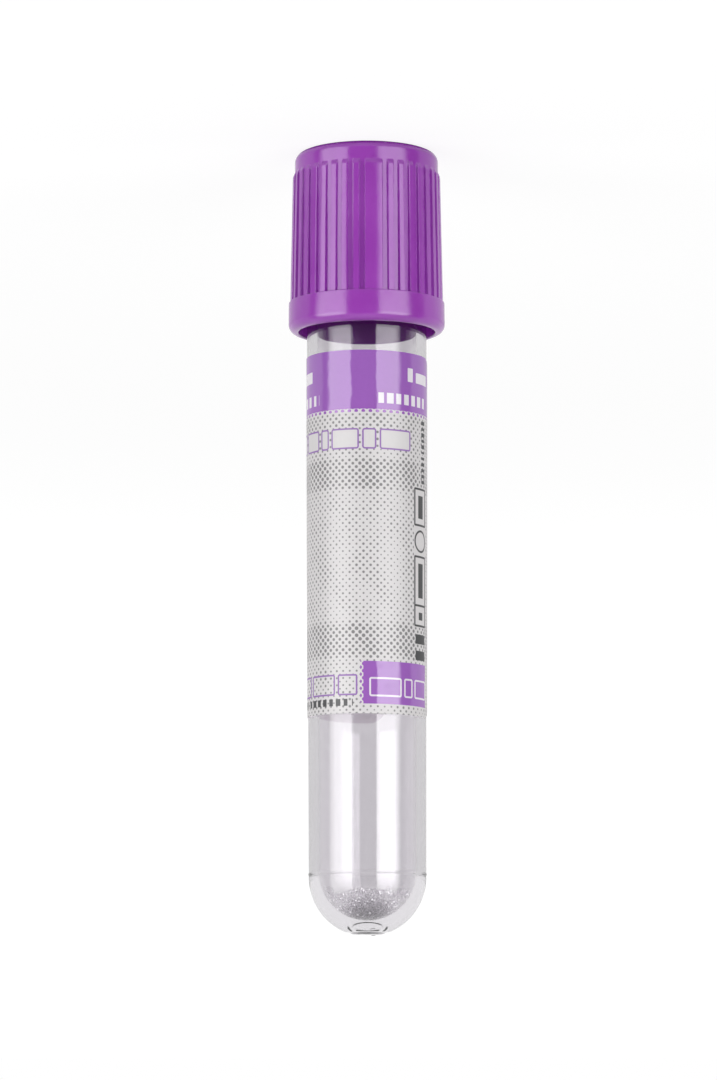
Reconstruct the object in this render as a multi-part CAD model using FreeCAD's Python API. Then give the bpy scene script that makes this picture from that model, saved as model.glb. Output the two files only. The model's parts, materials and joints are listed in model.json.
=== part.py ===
import FreeCAD, Part
import math
import os

# Blood collection tube, 13 x 75 mm class, standing on its cap: a clear moulded tube with a round
# bottom, a paper label, a ribbed cap with a rubber stopper in it, and a dried additive film.
#
# Every piece is drawn upright, on the tube's own axis (+Z, heights measured from the bottom flat,
# -Y towards the label's front). The bottom is round and the tube rolls on its side, so the whole
# tube is then turned over to stand on the cap's flat top.
# Lengths are in millimetres.

Vector = FreeCAD.Vector
AXIS = Vector(0, 0, 1)
FRONT_AXIS = Vector(0, 1, 0)
CENTRE = Vector(0, 0, 0)
FULL_TURN = 360

# Tube
TUBE_LENGTH = 75.0
TUBE_RADIUS = 6.085            # round bottom, and the barrel where it leaves it
TUBE_DRAFT = math.radians(0.197)
TUBE_WALL = 1.05
TUBE_FLOOR = 1.30
TUBE_RIM_BEVEL = 0.25
SEAM_ABOVE_BOTTOM = 0.18       # witness band of the bottom insert, above the round bottom
SEAM_WIDTH = 0.25
SEAM_PROUD = 0.02
GATE_FLAT_RADIUS = 1.38
GATE_RING_RADIUS = 1.90        # shallow moulded ring round the gate flat
GATE_RING_WIDTH = 0.80
GATE_RING_DEPTH = 0.12
GATE_STUB_RADIUS = 0.28
GATE_STUB_HEIGHT = 0.05
GATE_STUB_OFFSET = 0.60

# Stopper
FLANGE_THICKNESS = 3.4
PLUG_LENGTH = 6.5
PLUG_CLEARANCE = 0.03          # radial, plug in tube bore
PLUG_LEAD_IN = 0.5
PLUG_HOLLOW_RADIUS = 2.8
PLUG_HOLLOW_BEVEL = 0.9
DIAPHRAGM_THICKNESS = 3.7
DISH_RADIUS = 4.1              # needle target in the stopper's top
DISH_DEPTH = 1.2
DISH_SLOPE = 0.5               # how much narrower the dish is at its floor
DISH_BEVEL = 0.3
STOPPER_BEVEL = 0.2

# Cap
SKIRT_DROP = 11.9              # how far the cap reaches below the tube's mouth
SLEEVE_CLEARANCE = 0.30        # radial, cap sleeve round the tube's mouth
BEAD_CLEARANCE = 0.20          # radial, snap bead round the tube's mouth
BEAD_CATCH = 0.15              # how far the bead reaches in under the flange
BEAD_HEIGHT = 0.5
BEAD_SLOPE = 0.1               # height of the bead's sloped faces
BEAD_GAP = 0.05                # axial, bead to flange
POCKET_CLEARANCE = 0.05        # radial, flange in cap
CAP_WALL = 0.83                # at the groove floors, round the flange
CAP_TOP_THICKNESS = 1.3
CAP_TOP_ROUND = 0.9
TOP_BAND_HEIGHT = 2.05
HUB_HEIGHT = 2.55              # from the flange up to the underside of the cap's top
HUB_WALL = 1.2
WELL_RADIUS = 4.35             # needle well, from the cap's top down to the stopper
WELL_BEVEL = 0.45
SKIRT_BAND_HEIGHT = 3.17
SKIRT_BAND_STEP = 0.16         # band proud of the ribs above it
SKIRT_BAND_DRAFT = math.radians(0.55)
SKIRT_BAND_TOP_BEVEL = 0.10
SKIRT_WALL = 1.05
SKIRT_FLARE_HEIGHT = 2.7       # height of the wide mouth inside the skirt
SKIRT_FLARE_DRAFT = math.radians(2.0)
SKIRT_ROUND = 0.9
SKIRT_LIP_BEVEL = 0.12
RIB_PITCHES = 40
RIB_HEIGHT = 0.225             # at the top end
RIB_DRAFT = math.radians(1.08)
RIB_RAMP = 0.64                # length of the sloped top ends
GROOVE_DRAFT = math.radians(0.56)
GROOVE_SHARE = 0.53            # groove width at the rib tops, as a share of the pitch
GROOVE_SIDE_DRAFT = math.radians(12)
WIDE_RIB_AT = 5.5              # degrees from the front: the one groove left out is here

# Label
LABEL_BELOW_SKIRT = 2.9
LABEL_HEIGHT = 37.8
LABEL_THICKNESS = 0.08
LABEL_LIFT = 0.01              # adhesive, between the tube and the label
LABEL_CORNER = 2.6
LABEL_SKEW = 0.7               # degrees: the label was stuck on slightly askew
WINDOW_ARC = 60.0              # degrees of bare tube between the label's two edges
WINDOW_AT = 125.0              # degrees from the front, to the middle of the window

# Additive
ADDITIVE_HEIGHT = 3.6
ADDITIVE_THICKNESS = 0.10
ADDITIVE_LIFT = 0.01

CUTTER_MARGIN = 2.0            # how far cutting tools run past what they cut


def tube_outside(height):
    """Outside radius of the drafted barrel at a height."""
    return TUBE_RADIUS + (height - round_bottom_centre()) * math.tan(TUBE_DRAFT)


def tube_inside(height):
    """Bore radius at a height."""
    return tube_outside(height) - TUBE_WALL


def round_bottom_centre():
    """Height of the round bottom's centre: the gate flat trims the ball a little."""
    return math.sqrt(TUBE_RADIUS ** 2 - GATE_FLAT_RADIUS ** 2)


def bore_end_radius():
    """Radius of the round end of the bore."""
    return TUBE_RADIUS - TUBE_WALL


def bore_end_centre():
    """Height of the centre of the round end of the bore."""
    return TUBE_FLOOR + bore_end_radius()


def skirt_bottom():
    """Height of the cap's lower edge."""
    return TUBE_LENGTH - SKIRT_DROP


def skirt_band_top():
    """Height where the skirt band ends and the ribs start."""
    return skirt_bottom() + SKIRT_BAND_HEIGHT


def flange_top():
    """Height of the stopper's upper face."""
    return TUBE_LENGTH + FLANGE_THICKNESS


def cap_ceiling():
    """Height of the underside of the cap's top."""
    return flange_top() + HUB_HEIGHT


def cap_top():
    """Height of the cap's upper face."""
    return cap_ceiling() + CAP_TOP_THICKNESS


def bead_radius():
    """Inner radius of the snap bead below the stopper's flange."""
    return tube_outside(TUBE_LENGTH) + BEAD_CLEARANCE


def flange_radius():
    """Outside radius of the stopper's flange."""
    return bead_radius() + BEAD_CATCH


def pocket_radius():
    """Inner radius of the cap round the flange."""
    return flange_radius() + POCKET_CLEARANCE


def top_band_radius():
    """Outside radius of the smooth band at the top of the cap."""
    return pocket_radius() + CAP_WALL


def rib_end():
    """Height where the sloped rib ends meet the smooth top band."""
    return cap_top() - TOP_BAND_HEIGHT


def rib_radius(height):
    """Outside radius of the drafted ribs at a height."""
    full = rib_end() - RIB_RAMP
    return top_band_radius() + RIB_HEIGHT + (full - height) * math.tan(RIB_DRAFT)


def groove_floor(height):
    """Radius of the groove floors at a height: flush with the top band where they run out."""
    return top_band_radius() + (rib_end() - height) * math.tan(GROOVE_DRAFT)


def skirt_band_radius(height):
    """Outside radius of the skirt band at a height."""
    top = rib_radius(skirt_band_top()) + SKIRT_BAND_STEP
    return top + (skirt_band_top() - height) * math.tan(SKIRT_BAND_DRAFT)


def line(start, end):
    """Straight edge between two (radius, height) points."""
    return Part.LineSegment(Vector(start[0], 0, start[1]), Vector(end[0], 0, end[1])).toShape()


def arc(centre, radius, start_angle, end_angle):
    """Arc edge about a (radius, height) centre, angles in radians from the radial direction."""
    points = []
    for angle in (start_angle, (start_angle + end_angle) / 2, end_angle):
        x = centre[0] + radius * math.cos(angle)
        z = centre[1] + radius * math.sin(angle)
        points.append(Vector(x, 0, z))
    return Part.Arc(*points).toShape()


def sharp(x, z):
    """Outline corner that is left sharp."""
    return (x, z, 0, False)


def rounded(x, z, radius):
    """Outline corner with a tangent arc."""
    return (x, z, radius, True)


def bevelled(x, z, leg):
    """Outline corner cut straight across, each leg that long."""
    return (x, z, leg, False)


def outline(corners):
    """Edges of a closed outline through its corners, in the radius-height plane."""
    count = len(corners)
    enters = []
    leaves = []
    middles = []
    for index, (x, z, size, is_round) in enumerate(corners):
        corner = Vector(x, 0, z)
        before = corners[index - 1]
        after = corners[(index + 1) % count]
        back = (Vector(before[0], 0, before[1]) - corner).normalize()
        ahead = (Vector(after[0], 0, after[1]) - corner).normalize()
        half = back.getAngle(ahead) / 2
        run = size / math.tan(half) if is_round else size
        inward = (back + ahead).normalize()
        enters.append(corner + back * run)
        leaves.append(corner + ahead * run)
        middles.append(corner + inward * (size / math.sin(half) - size))
    edges = []
    for index, (x, z, size, is_round) in enumerate(corners):
        if is_round:
            edges.append(Part.Arc(enters[index], middles[index], leaves[index]).toShape())
        elif size > 0:
            edges.append(Part.LineSegment(enters[index], leaves[index]).toShape())
        edges.append(Part.LineSegment(leaves[index], enters[(index + 1) % count]).toShape())
    return edges


def turned(edges):
    """Solid of revolution of a closed outline about the axis."""
    face = Part.Face(Part.Wire(Part.__sortEdges__(edges)))
    return face.revolve(CENTRE, AXIS, FULL_TURN)


def around(shape, angle):
    """Copy of a shape turned about the axis, by degrees from the front towards +X."""
    copy = shape.copy()
    copy.rotate(CENTRE, AXIS, angle)
    return copy


def tube_body():
    """Drafted barrel and round bottom, turned in one profile with its bore."""
    seam_low = round_bottom_centre() + SEAM_ABOVE_BOTTOM
    seam_high = seam_low + SEAM_WIDTH
    rim = TUBE_LENGTH - TUBE_RIM_BEVEL
    gate_angle = math.atan2(-round_bottom_centre(), GATE_FLAT_RADIUS)
    barrel = [
        (TUBE_RADIUS, round_bottom_centre()),
        (tube_outside(seam_low), seam_low),
        (tube_outside(seam_low) + SEAM_PROUD, seam_low),
        (tube_outside(seam_high) + SEAM_PROUD, seam_high),
        (tube_outside(seam_high), seam_high),
        (tube_outside(rim), rim),
        (tube_outside(TUBE_LENGTH) - TUBE_RIM_BEVEL, TUBE_LENGTH),
        (tube_inside(TUBE_LENGTH) + TUBE_RIM_BEVEL, TUBE_LENGTH),
        (tube_inside(rim), rim),
        (bore_end_radius(), bore_end_centre()),
    ]
    edges = [line((0, 0), (GATE_FLAT_RADIUS, 0))]
    edges.append(arc((0, round_bottom_centre()), TUBE_RADIUS, gate_angle, 0))
    edges += [line(start, end) for start, end in zip(barrel, barrel[1:])]
    edges.append(arc((0, bore_end_centre()), bore_end_radius(), 0, -math.pi / 2))
    edges.append(line((0, TUBE_FLOOR), (0, 0)))
    return turned(edges)


def gate_ring():
    """Cutting tool for the shallow ring round the gate flat, turned from a circle segment."""
    half = GATE_RING_WIDTH / 2
    tool_radius = (half ** 2 + GATE_RING_DEPTH ** 2) / (2 * GATE_RING_DEPTH)
    ball_height = round_bottom_centre() - math.sqrt(TUBE_RADIUS ** 2 - GATE_RING_RADIUS ** 2)
    lean = math.asin(GATE_RING_RADIUS / TUBE_RADIUS)
    reach = tool_radius - GATE_RING_DEPTH
    middle = Vector(0, 0, ball_height - reach * math.cos(lean))
    return Part.makeTorus(GATE_RING_RADIUS + reach * math.sin(lean), tool_radius, middle, AXIS)


def tube():
    """Clear tube: barrel with bore, gate ring, and gate stub rooted as deep as it stands proud."""
    foot = Vector(GATE_STUB_OFFSET, 0, -GATE_STUB_HEIGHT)
    stub = Part.makeCylinder(GATE_STUB_RADIUS, 2 * GATE_STUB_HEIGHT, foot, AXIS)
    return tube_body().cut(gate_ring()).fuse(stub).removeSplitter()


def stopper():
    """Rubber stopper: flange on the tube's mouth, plug in the bore, dish above, hollow below."""
    plug_end = TUBE_LENGTH - PLUG_LENGTH
    dish_floor = flange_top() - DISH_DEPTH
    hollow_end = dish_floor - DIAPHRAGM_THICKNESS
    corners = [
        sharp(0, hollow_end),
        bevelled(PLUG_HOLLOW_RADIUS, hollow_end, PLUG_HOLLOW_BEVEL),
        sharp(PLUG_HOLLOW_RADIUS, plug_end),
        bevelled(tube_inside(plug_end) - PLUG_CLEARANCE, plug_end, PLUG_LEAD_IN),
        sharp(tube_inside(TUBE_LENGTH) - PLUG_CLEARANCE, TUBE_LENGTH),
        bevelled(flange_radius(), TUBE_LENGTH, STOPPER_BEVEL),
        bevelled(flange_radius(), flange_top(), STOPPER_BEVEL),
        sharp(DISH_RADIUS, flange_top()),
        bevelled(DISH_RADIUS - DISH_SLOPE, dish_floor, DISH_BEVEL),
        sharp(0, dish_floor),
    ]
    return turned(outline(corners))


def cap_shell():
    """Cap before its grooves are cut: skirt, sleeve, snap bead, stopper pocket, hub and well."""
    bottom = skirt_bottom()
    flare_top = bottom + SKIRT_FLARE_HEIGHT
    skirt_mouth = skirt_band_radius(bottom) - SKIRT_WALL
    flare_end = skirt_mouth - SKIRT_FLARE_HEIGHT * math.tan(SKIRT_FLARE_DRAFT)
    sleeve = tube_outside(TUBE_LENGTH) + SLEEVE_CLEARANCE
    shoulder_top = flare_top + (flare_end - sleeve)
    bead_top = TUBE_LENGTH - BEAD_GAP
    bead_low = bead_top - BEAD_HEIGHT
    hub_outside = WELL_RADIUS + HUB_WALL
    ribs_full = rib_end() - RIB_RAMP
    corners = [
        bevelled(skirt_mouth, bottom, SKIRT_LIP_BEVEL),
        rounded(skirt_band_radius(bottom), bottom, SKIRT_ROUND),
        bevelled(skirt_band_radius(skirt_band_top()), skirt_band_top(), SKIRT_BAND_TOP_BEVEL),
        sharp(rib_radius(skirt_band_top()), skirt_band_top()),
        sharp(rib_radius(ribs_full), ribs_full),
        sharp(top_band_radius(), rib_end()),
        rounded(top_band_radius(), cap_top(), CAP_TOP_ROUND),
        bevelled(WELL_RADIUS, cap_top(), WELL_BEVEL),
        sharp(WELL_RADIUS, flange_top()),
        sharp(hub_outside, flange_top()),
        sharp(hub_outside, cap_ceiling()),
        sharp(pocket_radius(), cap_ceiling()),
        sharp(pocket_radius(), bead_top),
        sharp(bead_radius(), bead_top - BEAD_SLOPE),
        sharp(bead_radius(), bead_low + BEAD_SLOPE),
        sharp(sleeve, bead_low),
        sharp(sleeve, shoulder_top),
        sharp(flare_end, flare_top),
    ]
    return turned(outline(corners))


def groove_section(height):
    """Cross-section of one groove at a height, at the front of the cap."""
    floor = groove_floor(height)
    pitch = 2 * math.pi * rib_radius(height) / RIB_PITCHES
    half_top = pitch * GROOVE_SHARE / 2
    depth = rib_radius(height) - floor
    half_floor = half_top - depth * math.tan(GROOVE_SIDE_DRAFT)
    outer = rib_radius(height) + SKIRT_BAND_STEP + CUTTER_MARGIN
    half_outer = half_top + (outer - rib_radius(height)) * math.tan(GROOVE_SIDE_DRAFT)
    points = [
        Vector(-half_floor, -floor, height),
        Vector(half_floor, -floor, height),
        Vector(half_outer, -outer, height),
        Vector(-half_outer, -outer, height),
    ]
    return Part.makePolygon(points + points[:1])


def groove_tool():
    """Cutting tool for one groove, from the skirt band to where it runs out on the top band."""
    return Part.makeLoft([groove_section(skirt_band_top()), groove_section(rib_end())], True, True)


def cap():
    """Ribbed cap: the turned shell with its grooves cut, all but the one at the wide rib."""
    pitch = FULL_TURN / RIB_PITCHES
    tools = [around(groove_tool(), WIDE_RIB_AT + pitch * step) for step in range(1, RIB_PITCHES)]
    return cap_shell().cut(tools)


def window_tool(top, bottom):
    """Cutting tool for the bare stripe between the label's edges, with its four round corners."""
    radius = tube_outside(top) + LABEL_LIFT + LABEL_THICKNESS
    half = radius * math.sin(math.radians(WINDOW_ARC / 2))
    wide = half + LABEL_CORNER
    above = top + CUTTER_MARGIN
    below = bottom - CUTTER_MARGIN
    quarter = math.pi / 2
    edges = [
        arc((-wide, top - LABEL_CORNER), LABEL_CORNER, quarter, 0),
        line((-half, top - LABEL_CORNER), (-half, bottom + LABEL_CORNER)),
        arc((-wide, bottom + LABEL_CORNER), LABEL_CORNER, 0, -quarter),
        line((-wide, bottom), (-wide, below)),
        line((-wide, below), (wide, below)),
        line((wide, below), (wide, bottom)),
        arc((wide, bottom + LABEL_CORNER), LABEL_CORNER, -quarter, -2 * quarter),
        line((half, bottom + LABEL_CORNER), (half, top - LABEL_CORNER)),
        arc((wide, top - LABEL_CORNER), LABEL_CORNER, 2 * quarter, quarter),
        line((wide, top), (wide, above)),
        line((wide, above), (-wide, above)),
        line((-wide, above), (-wide, top)),
    ]
    face = Part.Face(Part.Wire(Part.__sortEdges__(edges)))
    return around(face.extrude(Vector(0, -2 * radius, 0)), WINDOW_AT)


def label():
    """Wrap-round label: a thin drafted sleeve, cut to its height askew, with a bare window."""
    top = skirt_bottom() - LABEL_BELOW_SKIRT
    bottom = top - LABEL_HEIGHT
    low = bottom - CUTTER_MARGIN
    high = top + CUTTER_MARGIN
    inner = LABEL_LIFT
    outer = LABEL_LIFT + LABEL_THICKNESS
    corners = [
        sharp(tube_outside(low) + inner, low),
        sharp(tube_outside(low) + outer, low),
        sharp(tube_outside(high) + outer, high),
        sharp(tube_outside(high) + inner, high),
    ]
    sleeve = turned(outline(corners))
    side = 2 * (tube_outside(high) + outer) + CUTTER_MARGIN
    slab = Part.makeBox(side, side, LABEL_HEIGHT, Vector(-side / 2, -side / 2, bottom))
    window = window_tool(top, bottom)
    middle = Vector(0, 0, (top + bottom) / 2)
    for tool in (slab, window):
        tool.rotate(middle, Vector(0, 1, 0), LABEL_SKEW)
    return sleeve.common(slab).cut(window)


def additive():
    """Dried additive: a thin film in the round end of the bore."""
    centre = (0, bore_end_centre())
    outer = bore_end_radius() - ADDITIVE_LIFT
    inner = outer - ADDITIVE_THICKNESS
    edge_angle = math.asin((ADDITIVE_HEIGHT - bore_end_radius()) / bore_end_radius())
    edge = Vector(math.cos(edge_angle), 0, math.sin(edge_angle))
    edges = [
        line((0, centre[1] - inner), (0, centre[1] - outer)),
        arc(centre, outer, -math.pi / 2, edge_angle),
        line(
            (edge.x * outer, centre[1] + edge.z * outer),
            (edge.x * inner, centre[1] + edge.z * inner),
        ),
        arc(centre, inner, edge_angle, -math.pi / 2),
    ]
    return turned(edges)


def stood_on_cap(pieces):
    """The pieces turned over to stand on the cap's flat top, the label's front still at -Y."""
    stood = {}
    for name, shape in pieces.items():
        stood[name] = shape.copy()
        stood[name].rotate(CENTRE, FRONT_AXIS, FULL_TURN / 2)
        stood[name].translate(Vector(0, 0, cap_top()))
    return stood


def main():
    """Build every piece, stand the tube on its cap and write one STEP file per piece."""
    upright = {
        "tube": tube(),
        "stopper": stopper(),
        "cap": cap(),
        "label": label(),
        "additive": additive(),
    }
    os.makedirs("parts", exist_ok=True)
    for name, shape in stood_on_cap(upright).items():
        shape.exportStep(os.path.join("parts", name + ".step"))
        print(name, len(shape.Solids), "solid", shape.isValid(), round(shape.Volume, 2), "mm3")


main()
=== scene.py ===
import json
import logging
import math
from dataclasses import dataclass, field
from enum import Enum

import bpy
import numpy as np
from mathutils import Matrix, Vector

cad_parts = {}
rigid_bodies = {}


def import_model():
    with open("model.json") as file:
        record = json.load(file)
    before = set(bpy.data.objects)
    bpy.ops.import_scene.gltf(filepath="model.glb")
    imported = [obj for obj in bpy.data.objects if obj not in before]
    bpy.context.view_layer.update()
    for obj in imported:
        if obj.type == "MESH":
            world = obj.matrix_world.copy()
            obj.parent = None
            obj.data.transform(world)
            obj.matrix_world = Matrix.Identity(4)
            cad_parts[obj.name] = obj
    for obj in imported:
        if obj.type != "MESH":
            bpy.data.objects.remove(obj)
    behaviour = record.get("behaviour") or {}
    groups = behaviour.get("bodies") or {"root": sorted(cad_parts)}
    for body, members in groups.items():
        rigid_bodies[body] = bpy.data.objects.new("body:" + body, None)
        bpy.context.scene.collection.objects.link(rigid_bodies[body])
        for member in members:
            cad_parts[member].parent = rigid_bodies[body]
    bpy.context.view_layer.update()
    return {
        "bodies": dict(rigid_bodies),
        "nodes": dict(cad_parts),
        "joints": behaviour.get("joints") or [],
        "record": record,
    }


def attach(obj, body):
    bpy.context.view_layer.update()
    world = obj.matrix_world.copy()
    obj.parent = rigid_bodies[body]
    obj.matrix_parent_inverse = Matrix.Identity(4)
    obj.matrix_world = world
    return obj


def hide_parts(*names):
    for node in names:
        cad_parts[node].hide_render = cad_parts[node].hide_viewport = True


# Blood collection tube, 13 x 75 mm class, standing on its cap: looks for the clear tube, its ribbed
# cap and rubber stopper, the printed wrap-round label and the dried additive, in a small studio.
#
# Sizes of the pieces are in millimetres. A point is given by its radius from the tube's axis, its
# angle from the front towards the label's right, and its height along the axis, from the tube's
# bottom flat towards the cap. The tube stands cap down, so heights run downwards in the room.

MM = 0.001
FULL_TURN = 2 * math.pi
ON_AXIS = 1e-9
LABEL_FRONT = (0.0, -1.0, 0.0)
LOG = logging.getLogger("collection_tube")

Colour = tuple[float, float, float]


class Slot(Enum):
    """Material slots of the record."""

    CLEAR_PLASTIC = "clear_plastic"
    STOPPER_RUBBER = "stopper_rubber"
    CAP_PLASTIC = "cap_plastic"
    LABEL_PAPER = "label_paper"
    DRIED_ADDITIVE = "dried_additive"


class Body(Enum):
    """Moving bodies of the frame."""

    BARREL = "barrel"
    CLOSURE = "closure"


# ----------------------------------------------------------------------------- frame and sizes


@dataclass(frozen=True)
class TubeFrame:
    """Axes of the standing tube: a point at its bottom flat, and three unit directions."""

    foot: np.ndarray
    axis: np.ndarray
    front: np.ndarray
    right: np.ndarray

    @classmethod
    def from_frame(cls, frame: dict, sizes: "TubeSizes") -> "TubeFrame":
        """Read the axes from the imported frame.

        Args:
            sizes: the tube's main sizes.

        Returns:
            The axes, with the foot in metres.
        """
        mounts = frame["record"]["mounts"]
        well = next(mount for mount in mounts if mount["name"] == "needle_well")
        axis = np.array(well["axis"], float)
        front = np.array(LABEL_FRONT)
        right = np.cross(axis, front)
        middle = sizes.flange_top + well["dims"]["length_mm"] / 2
        foot = np.array(well["pos_m"], float) - axis * middle * MM
        return cls(foot, axis, front, right)

    def place(self, radius: np.ndarray, angle: np.ndarray, height: np.ndarray) -> np.ndarray:
        """Turn radius, angle and height into points.

        Args:
            radius: distances from the axis, in mm.
            angle: angles from the front towards the label's right, in radians.
            height: heights along the axis, in mm.

        Returns:
            Points in metres, one row each, in the arrays' own order.
        """
        radius, angle, height = np.broadcast_arrays(radius, angle, height)
        out = np.cos(angle)[..., None] * self.front + np.sin(angle)[..., None] * self.right
        points = self.foot + MM * (radius[..., None] * out + height[..., None] * self.axis)
        return points.reshape(-1, 3)

    def spot(self, radius: float, angle: float, height: float) -> Vector:
        """One point, in metres."""
        return Vector(self.place(np.array(radius), np.array(angle), np.array(height))[0])


@dataclass(frozen=True)
class TubeSizes:
    """Sizes that more than one piece needs, all in mm except the draft, in radians."""

    length: float = 75.0
    ball_radius: float = 6.085
    gate_flat_radius: float = 1.38
    draft: float = math.radians(0.197)
    wall: float = 1.05
    floor: float = 1.30
    flange: float = 3.4
    skirt_drop: float = 11.9

    @property
    def ball_centre(self) -> float:
        """Height of the round bottom's centre."""
        return math.sqrt(self.ball_radius**2 - self.gate_flat_radius**2)

    @property
    def bore_end_radius(self) -> float:
        """Radius of the round end of the bore."""
        return self.ball_radius - self.wall

    @property
    def bore_end_centre(self) -> float:
        """Height of the centre of the round end of the bore."""
        return self.floor + self.bore_end_radius

    @property
    def flange_top(self) -> float:
        """Height of the stopper's upper face."""
        return self.length + self.flange

    @property
    def skirt_bottom(self) -> float:
        """Height of the cap's lower edge."""
        return self.length - self.skirt_drop

    def outside(self, height: float) -> float:
        """Outside radius of the drafted barrel at a height."""
        return self.ball_radius + (height - self.ball_centre) * math.tan(self.draft)

    def inside(self, height: float) -> float:
        """Bore radius at a height."""
        return self.outside(height) - self.wall


# ----------------------------------------------------------------------------- mesh tools


@dataclass(frozen=True)
class Corner:
    """Corner of an outline. A leg above 0 rounds it off, from that far before to that far after."""

    radius: float
    height: float
    leg: float = 0.0
    steps: int = 6


def soft_outline(corners: list[Corner], closed: bool) -> np.ndarray:
    """Draw an outline through its corners, with each rounded one as a near-circular curve.

    Args:
        corners: the corners in order, outside upwards.
        closed: whether the last corner joins the first.

    Returns:
        An array of (radius, height) points.
    """
    spots = [np.array([corner.radius, corner.height]) for corner in corners]
    points: list[np.ndarray] = []
    for index, corner in enumerate(corners):
        here = spots[index]
        at_end = not closed and index in (0, len(corners) - 1)
        if corner.leg == 0 or at_end:
            points.append(here)
            continue
        back = spots[index - 1] - here
        ahead = spots[(index + 1) % len(corners)] - here
        back /= np.linalg.norm(back)
        ahead /= np.linalg.norm(ahead)
        turn = math.pi - math.acos(float(np.clip(back @ ahead, -1, 1)))
        pull = 2 / 3 if turn < 0.01 else 4 / 3 * math.tan(turn / 4) / math.tan(turn / 2)
        start, end = here + back * corner.leg, here + ahead * corner.leg
        lead_in, lead_out = start + (here - start) * pull, end + (here - end) * pull
        for t in np.linspace(0, 1, corner.steps + 1):
            s = 1 - t
            points.append(
                s**3 * start + 3 * s * s * t * lead_in + 3 * s * t * t * lead_out + t**3 * end
            )
    return np.array(points)


def arc_points(centre: float, radius: float, start: float, end: float, count: int) -> np.ndarray:
    """Points on an arc whose centre is on the axis.

    Args:
        centre: height of the centre, in mm.
        radius: radius of the arc, in mm.
        start: first angle, in radians up from the radial direction.
        end: last angle, in radians.
        count: number of points.

    Returns:
        An array of (radius, height) points.
    """
    angles = np.linspace(start, end, count)
    return np.stack([radius * np.cos(angles), centre + radius * np.sin(angles)], axis=1)


def mesh_object(name: str, points: np.ndarray, faces: list, sharp_above: float) -> bpy.types.Object:
    """Make a smooth-shaded mesh object whose large faces shade flat beside small roundings.

    Args:
        name: name of the object.
        points: its vertices, in metres.
        faces: its faces, as tuples of vertex numbers.
        sharp_above: edges that turn more than this, in degrees, stay sharp.

    Returns:
        The linked object.
    """
    mesh = bpy.data.meshes.new(name)
    mesh.from_pydata(points.tolist(), [], faces)
    mesh.validate()
    mesh.shade_smooth()
    mesh.set_sharp_from_angle(angle=math.radians(sharp_above))
    made = bpy.data.objects.new(name, mesh)
    bpy.context.scene.collection.objects.link(made)
    made.modifiers.new("even_shading", "WEIGHTED_NORMAL").keep_sharp = True
    return made


def wound_faces(index: np.ndarray, closed: bool, round_about: bool = True) -> list:
    """Faces of a grid of vertex numbers, rows upwards and columns by angle, facing outwards.

    Args:
        index: vertex numbers, one row for each point of the outline.
        closed: whether the last row joins the first.
        round_about: whether the last column joins the first.

    Returns:
        Faces as tuples; a grid square with a repeated vertex becomes a triangle.
    """
    low, high = (index, np.roll(index, -1, axis=0)) if closed else (index[:-1], index[1:])
    low_next, high_next = np.roll(low, -1, axis=1), np.roll(high, -1, axis=1)
    squares = np.stack([low, low_next, high_next, high], axis=-1)
    if not round_about:
        squares = squares[:, :-1]
    return [tuple(dict.fromkeys(square)) for square in squares.reshape(-1, 4).tolist()]


def wound_object(
    name: str,
    frame: TubeFrame,
    radii: np.ndarray,
    heights: np.ndarray,
    angles: np.ndarray,
    closed: bool,
    sharp_above: float,
) -> bpy.types.Object:
    """Wind an outline round the axis. A row of zero radius becomes one vertex.

    Args:
        name: name of the object.
        frame: the tube's axes.
        radii: radius of each outline point at each angle, in mm.
        heights: height of each, in mm.
        angles: the angles, in radians.
        closed: whether the outline joins up with itself.
        sharp_above: edges that turn more than this, in degrees, stay sharp.

    Returns:
        The linked object.
    """
    points = frame.place(radii, angles[None, :], heights)
    index = np.arange(len(points)).reshape(radii.shape)
    at_pole = np.all(radii < ON_AXIS, axis=1)
    index[at_pole] = index[at_pole][:, :1]
    used, packed = np.unique(index, return_inverse=True)
    faces = wound_faces(packed.reshape(radii.shape), closed)
    return mesh_object(name, points[used], faces, sharp_above)


def turned_object(
    name: str, frame: TubeFrame, outline: np.ndarray, columns: int, closed: bool, sharp_above: float
) -> bpy.types.Object:
    """Turn one outline about the axis.

    Args:
        name: name of the object.
        frame: the tube's axes.
        outline: (radius, height) points in mm, outside upwards.
        columns: number of steps round the axis.
        closed: whether the outline joins up with itself.
        sharp_above: edges that turn more than this, in degrees, stay sharp.

    Returns:
        The linked object.
    """
    angles = np.arange(columns) * FULL_TURN / columns
    radii = np.repeat(outline[:, :1], columns, axis=1)
    heights = np.repeat(outline[:, 1:], columns, axis=1)
    return wound_object(name, frame, radii, heights, angles, closed, sharp_above)


# ----------------------------------------------------------------------------- material tools

Value = float | bpy.types.NodeSocket


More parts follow.
